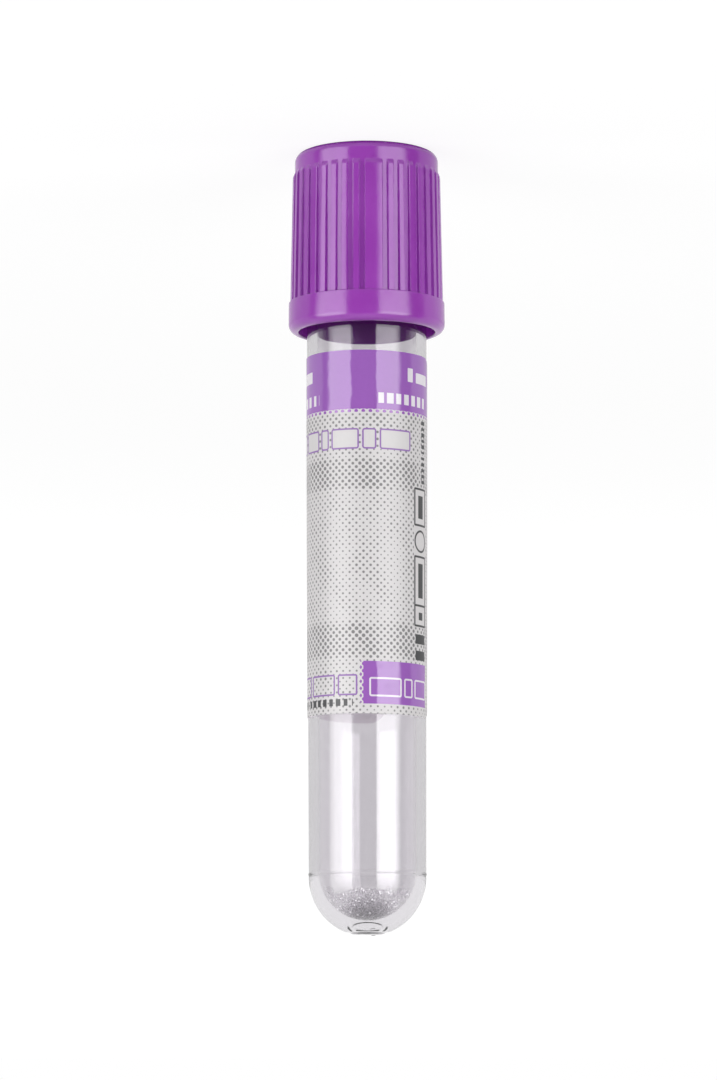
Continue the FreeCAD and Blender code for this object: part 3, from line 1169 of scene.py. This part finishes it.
@dataclass(frozen=True)
class LabelPrintFinish:
    """Coated label: violet band, halftone dots, plain boxes and bars, under a clear gloss film."""

    paper: Colour = (0.635, 0.615, 0.62)
    violet: Colour = (0.315, 0.115, 0.465)
    line_violet: Colour = (0.25, 0.11, 0.39)
    dot_grey: Colour = (0.17, 0.165, 0.17)
    black: Colour = (0.015, 0.015, 0.018)
    white: Colour = (0.76, 0.72, 0.78)
    band_bottom: float = 31.6
    panel: Patch = Patch(-19.6, -11.2, 8.0, 27.0, 0.6)
    dot_cell: float = 0.516
    dot_blur: float = 0.08
    edge_blur: float = 0.035
    paper_tint: Colour = (0.75, 0.74, 0.75)
    paper_roughness: float = 0.42
    ink_roughness: float = 0.05
    coating_ior: float = 1.70

    def make(self) -> bpy.types.Material:
        """Build the printed face, one layer of print after another.

        Returns:
            The material.
        """
        sheet = PrintSheet(MaterialBench("label_print"), self.edge_blur)
        bench = sheet.bench
        away, odd = self.lattice(sheet)
        colour: object = self.paper
        colour = bench.blend(self.dots(sheet, away, odd), colour, self.dot_grey)
        colour = bench.blend(sheet.fill(self.panel), colour, self.paper)
        colour = self.lined_panel(sheet, colour)
        solid = self.violet_fields(sheet, away)
        colour = bench.blend(solid, colour, self.violet)
        for layer in (self.outlined_row, self.foot_frames, self.side_strip, self.band_bars):
            colour = layer(sheet, colour)
        return self.coated(sheet, colour, solid)

    def tone(self, sheet: "PrintSheet") -> bpy.types.NodeSocket:
        """Mix the darkness of the halftone from bands, side stripes and soft streaks.

        Args:
            sheet: the drawing tools.

        Returns:
            The darkness, from about 0 to 0.85.
        """
        bench, across, up = sheet.bench, sheet.across, sheet.up
        low_band = sheet.hump(up, 5.9, 9.3, 0.7)
        high_band = sheet.hump(up, 23.3, 26.4, 0.7)
        right = sheet.hump(across, 3.9, 6.0, 0.9)
        middle = sheet.hump(across, -1.9, 1.4, 1.2)
        left = bench.ramp(across, -4.9, -3.7, 1.0, 0.0)
        cloud = bench.noise(sheet.place, 0.45, 3.0)
        lean = bench.maths("MULTIPLY_ADD", up, 0.55, across)
        lean = bench.maths("MULTIPLY_ADD", cloud, 5.0, lean)
        streak = bench.ramp(bench.maths("SINE", bench.maths("MULTIPLY", lean, 1.25)), 0.1, 0.9, 0, 1)
        top = bench.ramp(up, 26.5, 29.0, 0.0, 1.0)
        total: Value = bench.ramp(cloud, 0.35, 0.65, 0.04, 0.24)
        weights = (
            (low_band, 0.40),
            (high_band, 0.42),
            (right, 0.22),
            (middle, 0.11),
            (left, 0.20),
            (streak, 0.13),
            (top, 0.16),
        )
        for part, weight in weights:
            total = bench.maths("MULTIPLY_ADD", part, weight, total)
        return bench.maths("MINIMUM", total, 0.85)

    def lattice(self, sheet: "PrintSheet") -> tuple[bpy.types.NodeSocket, bpy.types.NodeSocket]:
        """Lay out the halftone lattice at 45 degrees.

        Args:
            sheet: the drawing tools.

        Returns:
            The distance in mm from the nearest dot's centre, and 1 on every other dot.
        """
        bench, cell = sheet.bench, self.dot_cell
        scale = 1 / (math.sqrt(2) * cell)
        first = bench.maths("MULTIPLY", bench.maths("ADD", sheet.across, sheet.up), scale)
        second = bench.maths("MULTIPLY", bench.maths("SUBTRACT", sheet.across, sheet.up), scale)
        a = bench.maths("SUBTRACT", bench.maths("FRACT", first), 0.5)
        b = bench.maths("SUBTRACT", bench.maths("FRACT", second), 0.5)
        away = bench.maths("MULTIPLY", sheet.length(a, b), cell)
        columns = bench.maths("ADD", bench.maths("FLOOR", first), bench.maths("FLOOR", second))
        return away, bench.maths("PINGPONG", columns, 1.0)

    def dots(self, sheet: "PrintSheet", away: Value, odd: Value) -> bpy.types.NodeSocket:
        """Draw the soft-edged dots, larger where the tone is darker.

        Args:
            sheet: the drawing tools.
            away: distance in mm from the nearest dot's centre.
            odd: 1 on every other dot.

        Returns:
            The dots' coverage.
        """
        bench = sheet.bench
        tone = self.tone(sheet)
        small = bench.maths("MULTIPLY", odd, bench.maths("MULTIPLY_ADD", tone, -0.035, 0.03))
        size = bench.maths("MULTIPLY_ADD", tone, 0.135, 0.078)
        beyond = bench.maths("SUBTRACT", away, bench.maths("SUBTRACT", size, small))
        return bench.maths("MULTIPLY_ADD", beyond, -1 / self.dot_blur, 0.5, clamp=True)

    def violet_fields(self, sheet: "PrintSheet", away: Value) -> bpy.types.NodeSocket:
        """Draw the violet band and box, each with a row of dots run into its edge.

        Args:
            sheet: the drawing tools.
            away: distance in mm from the nearest dot's centre.

        Returns:
            The solid violet's coverage.
        """
        bench = sheet.bench
        band = sheet.edge(bench.maths("SUBTRACT", self.band_bottom, sheet.up))
        fields = bench.maths("MAXIMUM", band, sheet.fill(Patch(-0.4, 8.0, 1.0, 5.4, 0.02)))
        below_band = sheet.hump(sheet.up, self.band_bottom - 0.32, self.band_bottom + 0.3, 0.02)
        beside_box = sheet.fill(Patch(-0.72, 0.0, 1.1, 5.4, 0.01))
        beaded = bench.maths("MAXIMUM", below_band, beside_box)
        beads = bench.maths("MULTIPLY", sheet.edge(bench.maths("SUBTRACT", away, 0.19)), beaded)
        return bench.maths("MAXIMUM", fields, beads)

    def outlined_row(self, sheet: "PrintSheet", colour: object) -> bpy.types.NodeSocket:
        """Draw the row of plain boxes below the band, each with a thin violet outline.

        Args:
            sheet: the drawing tools.
            colour: the print so far.

        Returns:
            The print with these marks on it.
        """
        bench = sheet.bench
        spans = ((-10.5, -8.6), (-8.1, -5.7), (-5.2, -4.3), (-3.8, -0.9), (-0.4, 0.9), (1.4, 4.9))
        shape = sheet.boxes(spans, 27.5, 29.5, 0.2)
        colour = bench.blend(sheet.edge(shape), colour, self.paper)
        contour = bench.maths("SUBTRACT", bench.maths("ABSOLUTE", shape), 0.085)
        return bench.blend(sheet.edge(contour), colour, self.line_violet)

    def foot_frames(self, sheet: "PrintSheet", colour: object) -> bpy.types.NodeSocket:
        """Draw plain frames at the foot: pale in the violet box, violet beside it, and bars.

        Args:
            sheet: the drawing tools.
            colour: the print so far.

        Returns:
            The print with these marks on it.
        """
        bench = sheet.bench
        rows = (
            (((0.3, 3.7), (4.2, 5.2), (5.7, 7.9)), 1.85, 3.65, self.white),
            (((-10.1, -7.4), (-6.9, -3.6), (-3.1, -1.1)), 1.95, 3.95, self.line_violet),
        )
        for spans, low, high, ink in rows:
            away = bench.maths("ABSOLUTE", sheet.boxes(spans, low, high, 0.15))
            colour = bench.blend(sheet.edge(bench.maths("SUBTRACT", away, 0.09)), colour, ink)
        bars = sheet.bars(BarRow(-9.6, -1.5, 0.78, 1.5, 0.86, 0.2, 3.0))
        return bench.blend(bars, colour, self.black)

    def side_strip(self, sheet: "PrintSheet", colour: object) -> bpy.types.NodeSocket:
        """Draw the black column at the right: bars, plain frames, a ring and two blocks.

        Args:
            sheet: the drawing tools.
            colour: the print so far.

        Returns:
            The print with these marks on it.
        """
        bench = sheet.bench
        marks = [
            sheet.line(Patch(5.68, 7.9, 19.9, 23.7, 0.06), 0.11),
            sheet.line(Patch(5.68, 7.9, 9.4, 16.6, 0.06), 0.11),
            sheet.fill(Patch(5.68, 7.9, 11.4, 11.62, 0.01)),
            sheet.fill(Patch(6.3, 7.3, 20.6, 23.0, 0.05)),
            sheet.fill(Patch(6.3, 7.3, 12.3, 15.9, 0.05)),
            sheet.fill(Patch(6.4, 7.2, 10.0, 10.8, 0.05)),
            sheet.fill(Patch(5.8, 7.8, 7.5, 8.5, 0.1)),
            sheet.fill(Patch(5.8, 7.8, 5.8, 6.8, 0.1)),
            sheet.line(Patch(5.72, 7.86, 17.15, 19.3, 1.07), 0.11),
            sheet.bars_up(BarRow(6.95, 7.75, 24.2, 31.0, 0.62, 0.16, 7.0)),
        ]
        bare = sheet.fill(Patch(5.5, 8.1, 9.2, 23.9, 0.06))
        return bench.blend(bench.most(marks), bench.blend(bare, colour, self.paper), self.black)

    def band_bars(self, sheet: "PrintSheet", colour: object) -> bpy.types.NodeSocket:
        """Draw the white bars on the violet band.

        Args:
            sheet: the drawing tools.
            colour: the print so far.

        Returns:
            The print with these marks on it.
        """
        bench = sheet.bench
        marks = [
            sheet.fill(Patch(4.6, 5.35, 34.75, 36.2, 0.1)),
            sheet.fill(Patch(5.85, 8.3, 34.75, 35.85, 0.1)),
            sheet.bars(BarRow(1.0, 8.1, 32.25, 33.35, 0.98, 0.2, 5.0)),
            sheet.bars(BarRow(-10.2, -5.6, 32.25, 33.35, 1.1, 0.22, 9.0)),
            sheet.fill(Patch(-10.2, -6.9, 34.75, 35.95, 0.1)),
        ]
        return bench.blend(bench.most(marks), colour, self.white)

    def lined_panel(self, sheet: "PrintSheet", colour: object) -> bpy.types.NodeSocket:
        """Draw the writing panel at the back: a violet frame with four plain lines.

        Args:
            sheet: the drawing tools.
            colour: the print so far.

        Returns:
            The print with these marks on it.
        """
        bench = sheet.bench
        frame = sheet.line(self.panel, 0.09)
        place = sheet.repeat(sheet.up, 9.5, 4.2)
        rule = sheet.box(sheet.across, place, Patch(-18.8, -12.0, -0.06, 0.06, 0.02))
        inside = sheet.fill(Patch(-19.0, -11.8, 9.5, 26.3, 0.01))
        rules = bench.maths("MULTIPLY", sheet.edge(rule), inside)
        return bench.blend(bench.maths("MAXIMUM", frame, rules), colour, self.line_violet)

    def coated(self, sheet: "PrintSheet", colour: object, solid: Value) -> bpy.types.Material:
        """Give the print its skin: glossy where the ink is solid and satin on the bare paper.

        Args:
            sheet: the drawing tools.
            colour: the whole print.
            solid: coverage of the solid violet ink.

        Returns:
            The material.
        """
        bench = sheet.bench
        place = bench.position()
        fibres = bench.noise(place, 2.5, 5.0)
        tinted = bench.node(
            "HueSaturation",
            {"Color": colour, "Value": bench.maths("MULTIPLY_ADD", fibres, 0.06, 0.97)},
        ).outputs[0]
        peel = bench.noise(place, 0.55, 2.0)
        skin = bench.noise(place, 6.0, 2.0)
        smooth = bench.ramp(solid, 0, 1, self.paper_roughness, self.ink_roughness)
        shader = bench.node(
            "BsdfPrincipled",
            {
                "Base Color": tinted,
                "Roughness": bench.maths("MULTIPLY_ADD", fibres, 0.05, smooth),
                "IOR": self.coating_ior,
                "Normal": bench.bump(skin, 0.25, 0.006, bench.bump(peel, 1.0, 0.035)),
            },
        )
        return bench.close(bench.letting_light_by(shader.outputs[0], self.paper_tint))


class PrintSheet:
    """Drawing tools for the label's print, in mm across and up the unrolled label."""

    def __init__(self, bench: MaterialBench, blur: float) -> None:
        """Read the print coordinates.

        Args:
            bench: the material's bench.
            blur: width over which an edge fades, in mm.
        """
        self.bench = bench
        self.blur = blur
        self.place = bench.node("Attribute", attribute_name="print_mm").outputs["Vector"]
        parts = bench.node("SeparateXYZ", {0: self.place})
        self.across = parts.outputs[0]
        self.up = parts.outputs[1]

    def edge(self, distance: Value) -> bpy.types.NodeSocket:
        """Ink coverage of a distance in mm: 1 inside, where it is negative, and 0 outside."""
        return self.bench.maths("MULTIPLY_ADD", distance, -1 / self.blur, 0.5, clamp=True)

    def length(self, first: Value, second: Value) -> bpy.types.NodeSocket:
        """Measure a two-part vector.

        Args:
            first: its first part.
            second: its second part.

        Returns:
            Its length.
        """
        bench = self.bench
        squares = bench.maths("MULTIPLY_ADD", second, second, bench.maths("MULTIPLY", first, first))
        return bench.maths("SQRT", squares)

    def box(self, across: Value, up: Value, patch: Patch) -> bpy.types.NodeSocket:
        """Measure how far a place is from a rounded box.

        Args:
            across: the place across the label, in mm.
            up: the place up the label, in mm.
            patch: the box.

        Returns:
            The distance in mm, below 0 inside the box.
        """
        bench = self.bench
        beyond = []
        for place, low, high in ((across, patch.left, patch.right), (up, patch.bottom, patch.top)):
            centred = bench.maths("ABSOLUTE", bench.maths("SUBTRACT", place, (low + high) / 2))
            half = (high - low) / 2 - patch.corner
            beyond.append(bench.maths("SUBTRACT", centred, half))
        outside = self.length(*[bench.maths("MAXIMUM", part, 0.0) for part in beyond])
        inside = bench.maths("MINIMUM", bench.maths("MAXIMUM", *beyond), 0.0)
        return bench.maths("SUBTRACT", bench.maths("ADD", outside, inside), patch.corner)

    def fill(self, patch: Patch) -> bpy.types.NodeSocket:
        """Coverage of a filled rounded box."""
        return self.edge(self.box(self.across, self.up, patch))

    def boxes(self, spans: tuple, low: float, high: float, corner: float) -> bpy.types.NodeSocket:
        """Distance in mm from the nearest of a row of boxes.

        Args:
            spans: the left and right edge of each box.
            low: the lower edge of all.
            high: the upper edge of all.
            corner: the corner radius of all.

        Returns:
            The distance, negative inside.
        """
        nearest: Value = 100.0
        for left, right in spans:
            shape = self.box(self.across, self.up, Patch(left, right, low, high, corner))
            nearest = self.bench.maths("MINIMUM", nearest, shape)
        return nearest

    def line(self, patch: Patch, width: float) -> bpy.types.NodeSocket:
        """Coverage of a rounded box's outline, drawn that many mm to each side."""
        away = self.bench.maths("ABSOLUTE", self.box(self.across, self.up, patch))
        return self.edge(self.bench.maths("SUBTRACT", away, width))

    def repeat(self, place: Value, start: float, pitch: float) -> bpy.types.NodeSocket:
        """Place within each repeat of a row, from minus to plus half a pitch."""
        local = self.bench.maths("WRAP", place, start + pitch, start)
        return self.bench.maths("SUBTRACT", local, start + pitch / 2)

    def hump(self, place: Value, low: float, high: float, soft: float) -> bpy.types.NodeSocket:
        """Pick out what lies between two places, with soft edges.

        Args:
            place: the place to test.
            low: where it starts.
            high: where it ends.
            soft: width of each edge.

        Returns:
            1 between the two places and 0 outside.
        """
        bench = self.bench
        rise = bench.ramp(place, low - soft / 2, low + soft / 2, 0.0, 1.0)
        fall = bench.ramp(place, high - soft / 2, high + soft / 2, 1.0, 0.0)
        return bench.maths("MULTIPLY", rise, fall)

    def broken(self, place: Value, start: float, row: BarRow) -> bpy.types.NodeSocket:
        """Break a row into bars of uneven length.

        Args:
            place: the place along the row, in mm.
            start: where the row starts.
            row: the row.

        Returns:
            The bars' coverage along the row.
        """
        bench, pitch = self.bench, row.pitch
        count = bench.maths("FLOOR", bench.maths("MULTIPLY_ADD", place, 1 / pitch, -start / pitch))
        draw = {"W": bench.maths("ADD", count, row.seed)}
        odd = bench.node("TexWhiteNoise", draw, noise_dimensions="1D").outputs[0]
        spare = row.unevenness * pitch
        half = bench.maths("MULTIPLY_ADD", odd, spare, 0.5 * (pitch - row.gap) - spare)
        local = self.repeat(place, start, pitch)
        return self.edge(bench.maths("SUBTRACT", bench.maths("ABSOLUTE", local), half))

    def bars(self, row: BarRow) -> bpy.types.NodeSocket:
        """Coverage of a row of bars that runs across."""
        region = self.fill(Patch(row.left, row.right, row.bottom, row.top, 0.05))
        return self.bench.maths("MULTIPLY", region, self.broken(self.across, row.left, row))

    def bars_up(self, row: BarRow) -> bpy.types.NodeSocket:
        """Coverage of a row of bars that runs up."""
        region = self.fill(Patch(row.left, row.right, row.bottom, row.top, 0.05))
        return self.bench.maths("MULTIPLY", region, self.broken(self.up, row.bottom, row))


@dataclass(frozen=True)
class LabelBackFinish:
    """Plain back and edges of the thin label paper, which light shines through."""

    colour: Colour = (0.95, 0.94, 0.95)
    fibre_colour: Colour = (0.90, 0.89, 0.90)
    paper_tint: Colour = (0.75, 0.74, 0.75)
    see_through: float = 0.7

    def make(self) -> bpy.types.Material:
        """Build the material.

        Returns:
            The material.
        """
        bench = MaterialBench("label_back")
        fibres = bench.noise(bench.position(), 3.0, 6.0)
        shade = bench.blend(fibres, self.colour, self.fibre_colour)
        normal = bench.bump(fibres, 0.4, 0.01)
        matt = bench.node("BsdfDiffuse", {"Color": shade, "Roughness": 0.5, "Normal": normal})
        lit_from_behind = bench.node("BsdfTranslucent", {"Color": shade, "Normal": normal})
        paper = bench.mixed(self.see_through, matt.outputs[0], lit_from_behind.outputs[0])
        return bench.close(bench.letting_light_by(paper, self.paper_tint))


@dataclass
class WrapLabel:
    """The label: one printed sheet wrapped round the tube a little askew, with round corners."""

    frame: TubeFrame
    sizes: TubeSizes
    below_skirt: float = 2.9
    height: float = 37.8
    lift: float = 0.01
    thickness: float = 0.08
    corner: float = 2.6
    skew: float = math.radians(0.7)
    left_edge: float = math.radians(-205.0)
    right_edge: float = math.radians(95.0)
    print_radius: float = 6.27
    across_steps: int = 260
    up_steps: int = 40
    corner_steps: int = 13
    finish: LabelPrintFinish = field(default_factory=LabelPrintFinish)
    back: LabelBackFinish = field(default_factory=LabelBackFinish)

    @property
    def bottom(self) -> float:
        """Height of the label's lower edge at the front."""
        return self.sizes.skirt_bottom - self.below_skirt - self.height

    def flat_grid(self) -> tuple[np.ndarray, np.ndarray]:
        """Points of the flat label, in mm: across from the front, and up from its foot.

        Returns:
            Two arrays, a row for each step up. Each row is as long as the corners let it be.
        """
        left, right = self.left_edge * self.print_radius, self.right_edge * self.print_radius
        bend = self.corner * (1 - np.cos(np.linspace(0, math.pi / 2, self.corner_steps)))
        middle = np.linspace(self.corner, self.height - self.corner, self.up_steps)[1:-1]
        up = np.concatenate([bend, middle, self.height - bend[::-1]])
        near = np.minimum(np.minimum(up, self.height - up), self.corner)
        short = self.corner - np.sqrt(np.clip(self.corner**2 - (self.corner - near) ** 2, 0, None))
        share = np.linspace(0, 1, self.across_steps)
        across = (left + short)[:, None] + ((right - left) - 2 * short)[:, None] * share[None, :]
        return across, np.repeat(up[:, None], self.across_steps, axis=1)

    def rolled(self, across: np.ndarray, up: np.ndarray, above: float) -> np.ndarray:
        """Points of the label on the tube.

        Args:
            across: mm across the flat label.
            up: mm up the flat label.
            above: height above the tube's surface, in mm.

        Returns:
            Points in metres.
        """
        angle = across / self.print_radius
        radius = self.sizes.outside(0) + above + (self.bottom + up) * math.tan(self.sizes.draft)
        height = self.bottom + up - radius * np.sin(angle) * math.tan(self.skew)
        return self.frame.place(radius, angle, height)

    def build(self) -> bpy.types.Object:
        """Build the label and put it in place of its plain node.

        Returns:
            The label's object.
        """
        across, up = self.flat_grid()
        count = across.size
        top = self.lift + self.thickness
        outer = self.rolled(across, up, top)
        inner = self.rolled(across, up, self.lift)
        index = np.arange(count).reshape(across.shape)
        print_faces = wound_faces(index, closed=False, round_about=False)
        back_faces = [face[::-1] for face in wound_faces(index + count, False, False)]
        rim = np.concatenate([index[0], index[1:, -1], index[-1, -2::-1], index[-2:0:-1, 0]])
        after = np.roll(rim, -1)
        rim_faces = np.stack([rim, rim + count, after + count, after], axis=1).tolist()
        faces = print_faces + back_faces + [tuple(face) for face in rim_faces]
        label = mesh_object("wrap_label", np.concatenate([outer, inner]), faces, 30)
        dress(label, Slot.LABEL_PAPER, self.finish.make(), self.back.make())
        plain = np.zeros(len(faces), np.int32)
        plain[len(print_faces):] = 1
        label.data.polygons.foreach_set("material_index", plain)
        self.write_print_place(label, across, up)
        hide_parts("label")
        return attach(label, Body.BARREL.value)

    def write_print_place(self, label: bpy.types.Object, across: np.ndarray, up: np.ndarray) -> None:
        """Store each vertex's place on the flat label, which the print is drawn from.

        Args:
            label: the label's object.
            across: mm across the flat label.
            up: mm up the flat label.
        """
        flat = np.stack([across.ravel(), up.ravel(), np.zeros(across.size)], axis=1)
        place = label.data.attributes.new("print_mm", "FLOAT_VECTOR", "POINT")
        place.data.foreach_set("vector", np.concatenate([flat, flat]).astype(np.float32).ravel())


# ----------------------------------------------------------------------------- studio


@dataclass(frozen=True)
class StripLamp:
    """Tall soft lamp that stands on the floor beside the tube, all in metres but the bearing."""

    name: str
    bearing: float
    width: float
    power: float
    height: float = 0.42
    distance: float = 0.50
    full_below: float = 0.21
    outer_fade: float = 0.11


@dataclass
class Studio:
    """Pale floor, pale surroundings, two tall lamps and the camera.

    The surroundings have a pair of levels ahead of the label and a pair behind it: the first of
    each is what lights the tube, and the second is what the tube reflects.
    """

    frame: TubeFrame
    floor_half: float = 8.0
    floor_colour: float = 0.8
    floor_seen: float = 0.20
    floor_grain: float = 0.01
    near_and_far_glow: tuple[float, float] = (0.86, 1.0)
    near_and_far: tuple[float, float] = (0.12, 0.60)
    ahead: tuple[float, float] = (0.05, 0.12)
    behind: tuple[float, float] = (0.80, 1.0)
    behind_steepness: float = 8.0
    sky_rise: tuple[float, float] = (0.40, 0.62)
    lamps: tuple[StripLamp, ...] = (
        StripLamp("left_strip", math.radians(-56.5), 0.490, 2.85),
        StripLamp("right_strip", math.radians(44.5), 0.485, 2.82),
    )
    camera_height: float = -17.65
    camera_distance: float = 434.0
    aim_height: float = 41.15
    aim_across: float = -0.89
    camera_roll: float = math.radians(-0.07)
    lens: float = 139.7
    sensor: float = 36.0

    def build(self) -> None:
        """Build the whole studio."""
        self.build_floor()
        self.build_surroundings()
        for lamp in self.lamps:
            self.build_lamp(lamp)
        self.build_camera()

    def build_floor(self) -> None:
        """Lay the floor: white to the eye, shadowed by the object, a mirror to reflections."""
        half = self.floor_half
        points = np.array([[-half, -half, 0], [half, -half, 0], [half, half, 0], [-half, half, 0]])
        floor = mesh_object("floor", points, [(0, 1, 2, 3)], 30)
        bench = MaterialBench("floor")
        grain = bench.noise(bench.position(), 0.02, 3.0)

        def matt(level: float) -> bpy.types.NodeSocket:
            """Make a matt shader of one grey, with a faint grain.

            Args:
                level: the grey, from 0 to 1.

            Returns:
                The shader.
            """
            shade = bench.maths("MULTIPLY_ADD", grain, self.floor_grain, level - self.floor_grain / 2)
            grey = bench.node("CombineColor", {0: shade, 1: shade, 2: shade}).outputs[0]
            return bench.node("BsdfDiffuse", {"Color": grey}).outputs[0]

        away = bench.node("VectorMath", {0: bench.position()}, operation="LENGTH").outputs["Value"]
        near, far = (reach / MM for reach in self.near_and_far)
        glow = bench.ramp(away, near, far, *self.near_and_far_glow)
        glowing = bench.node("Emission", {"Strength": glow}).outputs[0]
        seen = bench.node("AddShader", {0: matt(self.floor_seen), 1: glowing}).outputs[0]
        through, by_eye = bench.sight()
        plain = bench.mixed(by_eye, matt(self.floor_colour), seen)
        glossy = bench.node("LightPath").outputs["Is Glossy Ray"]
        reflected = bench.maths("SUBTRACT", glossy, through, clamp=True)
        mirror = bench.node("BsdfGlossy", {"Roughness": 0.0}).outputs[0]
        floor.data.materials.append(bench.close(bench.mixed(reflected, plain, mirror)))

    def build_surroundings(self) -> None:
        """Set the world: dim ahead of the tube, pale behind it, white to the eye."""
        world = bpy.data.worlds.new("surroundings")
        bpy.context.scene.world = world
        world.use_nodes = True
        world.node_tree.nodes.clear()
        bench = Bench(world.node_tree)
        direction = bench.node("TexCoord").outputs["Generated"]
        glossy = bench.node("LightPath").outputs["Is Glossy Ray"]
        backwards = bench.along(direction, [-part for part in LABEL_FRONT])
        behind = bench.maths("MULTIPLY", backwards, self.behind_steepness, clamp=True)
        rise = bench.node("SeparateXYZ", {0: direction}).outputs[2]
        low, high = self.sky_rise
        above = bench.maths("MULTIPLY_ADD", rise, 1 / (high - low), -low / (high - low), clamp=True)
        behind = bench.maths("MAXIMUM", behind, bench.maths("MULTIPLY", above, glossy))
        ahead_level, behind_level = (
            bench.maths("MULTIPLY_ADD", glossy, reflecting - lighting, lighting)
            for lighting, reflecting in (self.ahead, self.behind)
        )
        step = bench.maths("SUBTRACT", behind_level, ahead_level)
        level = bench.maths("MULTIPLY_ADD", step, behind, ahead_level)
        by_eye = bench.sight()[1]
        strength = bench.maths("MAXIMUM", by_eye, level)
        white = bench.node("Background", {"Color": (1.0, 1.0, 1.0), "Strength": strength})
        bench.node("OutputWorld", {"Surface": white.outputs[0]})

    def build_lamp(self, lamp: StripLamp) -> None:
        """Stand one lamp on the floor, facing the tube.

        Args:
            lamp: its place, size and power.
        """
        data = bpy.data.lights.new(lamp.name, "AREA")
        data.shape = "RECTANGLE"
        data.size = lamp.width
        data.size_y = lamp.height
        data.energy = lamp.power
        made = bpy.data.objects.new(lamp.name, data)
        bpy.context.scene.collection.objects.link(made)
        front, right, up = Vector(self.frame.front), Vector(self.frame.right), Vector((0, 0, 1))
        ahead, aside = math.cos(lamp.bearing), math.sin(lamp.bearing)
        out = front * ahead + right * aside
        turn = Matrix((up.cross(out), up, out)).transposed()
        middle = out * lamp.distance + up * lamp.height / 2
        made.matrix_world = Matrix.Translation(middle) @ turn.to_4x4()
        made.visible_camera = False
        outer = (right * ahead - front * aside) * math.copysign(1, lamp.bearing)
        self.soften_lamp(data, lamp, outer)

    def soften_lamp(self, data: bpy.types.AreaLight, lamp: StripLamp, outer: Vector) -> None:
        """Fade a lamp out towards its top and towards its outer side.

        Args:
            data: the lamp's light data.
            lamp: its place, size and power.
            outer: the direction across it, to its outer side.
        """
        data.use_nodes = True
        bench = Bench(data.node_tree)
        spot = bench.node("NewGeometry").outputs["Position"]
        height = bench.node("SeparateXYZ", {0: spot}).outputs[2]
        upwards = bench.ramp(height, lamp.full_below, lamp.height, 1.0, 0.0)
        edge = lamp.width / 2
        outwards = bench.ramp(bench.along(spot, outer), edge - lamp.outer_fade, edge, 1.0, 0.0)
        strength = bench.maths("MULTIPLY", upwards, outwards)
        bench.feed(bench.tree.nodes["Emission"].inputs["Strength"], strength)

    def build_camera(self) -> None:
        """Set the camera before the label, a little above it, turned so that the cap is up."""
        frame = self.frame
        eye = frame.spot(self.camera_distance, 0, self.camera_height)
        target = frame.spot(self.aim_across, math.pi / 2, self.aim_height)
        back = (eye - target).normalized()
        across = Vector(frame.axis).cross(back).normalized()
        upwards = back.cross(across)
        turn = Matrix((across, upwards, back)).transposed() @ Matrix.Rotation(self.camera_roll, 3, "Z")
        data = bpy.data.cameras.new("camera")
        data.sensor_fit = "VERTICAL"
        data.sensor_height = self.sensor
        data.lens = self.lens
        data.clip_start = 0.01
        data.clip_end = 50
        camera = bpy.data.objects.new("camera", data)
        camera.matrix_world = Matrix.Translation(eye) @ turn.to_4x4()
        bpy.context.scene.collection.objects.link(camera)
        bpy.context.scene.camera = camera


def main() -> None:
    """Build every piece in order, then the studio, and log each piece's face count."""
    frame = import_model()
    logging.basicConfig(level=logging.INFO, format="%(message)s")
    bpy.context.scene.view_settings.view_transform = "Standard"
    sizes = TubeSizes()
    axes = TubeFrame.from_frame(frame, sizes)
    builders = (
        ClearTube(axes, sizes),
        AdditiveBed(axes, sizes),
        WrapLabel(axes, sizes),
        Stopper(axes, sizes),
        RibbedCap(axes, sizes),
    )
    for builder in builders:
        piece = builder.build()
        LOG.info("%s: %d faces", piece.name, len(piece.data.polygons))
    Studio(axes).build()
    LOG.info("studio ready")


if __name__ == "__main__":
    main()
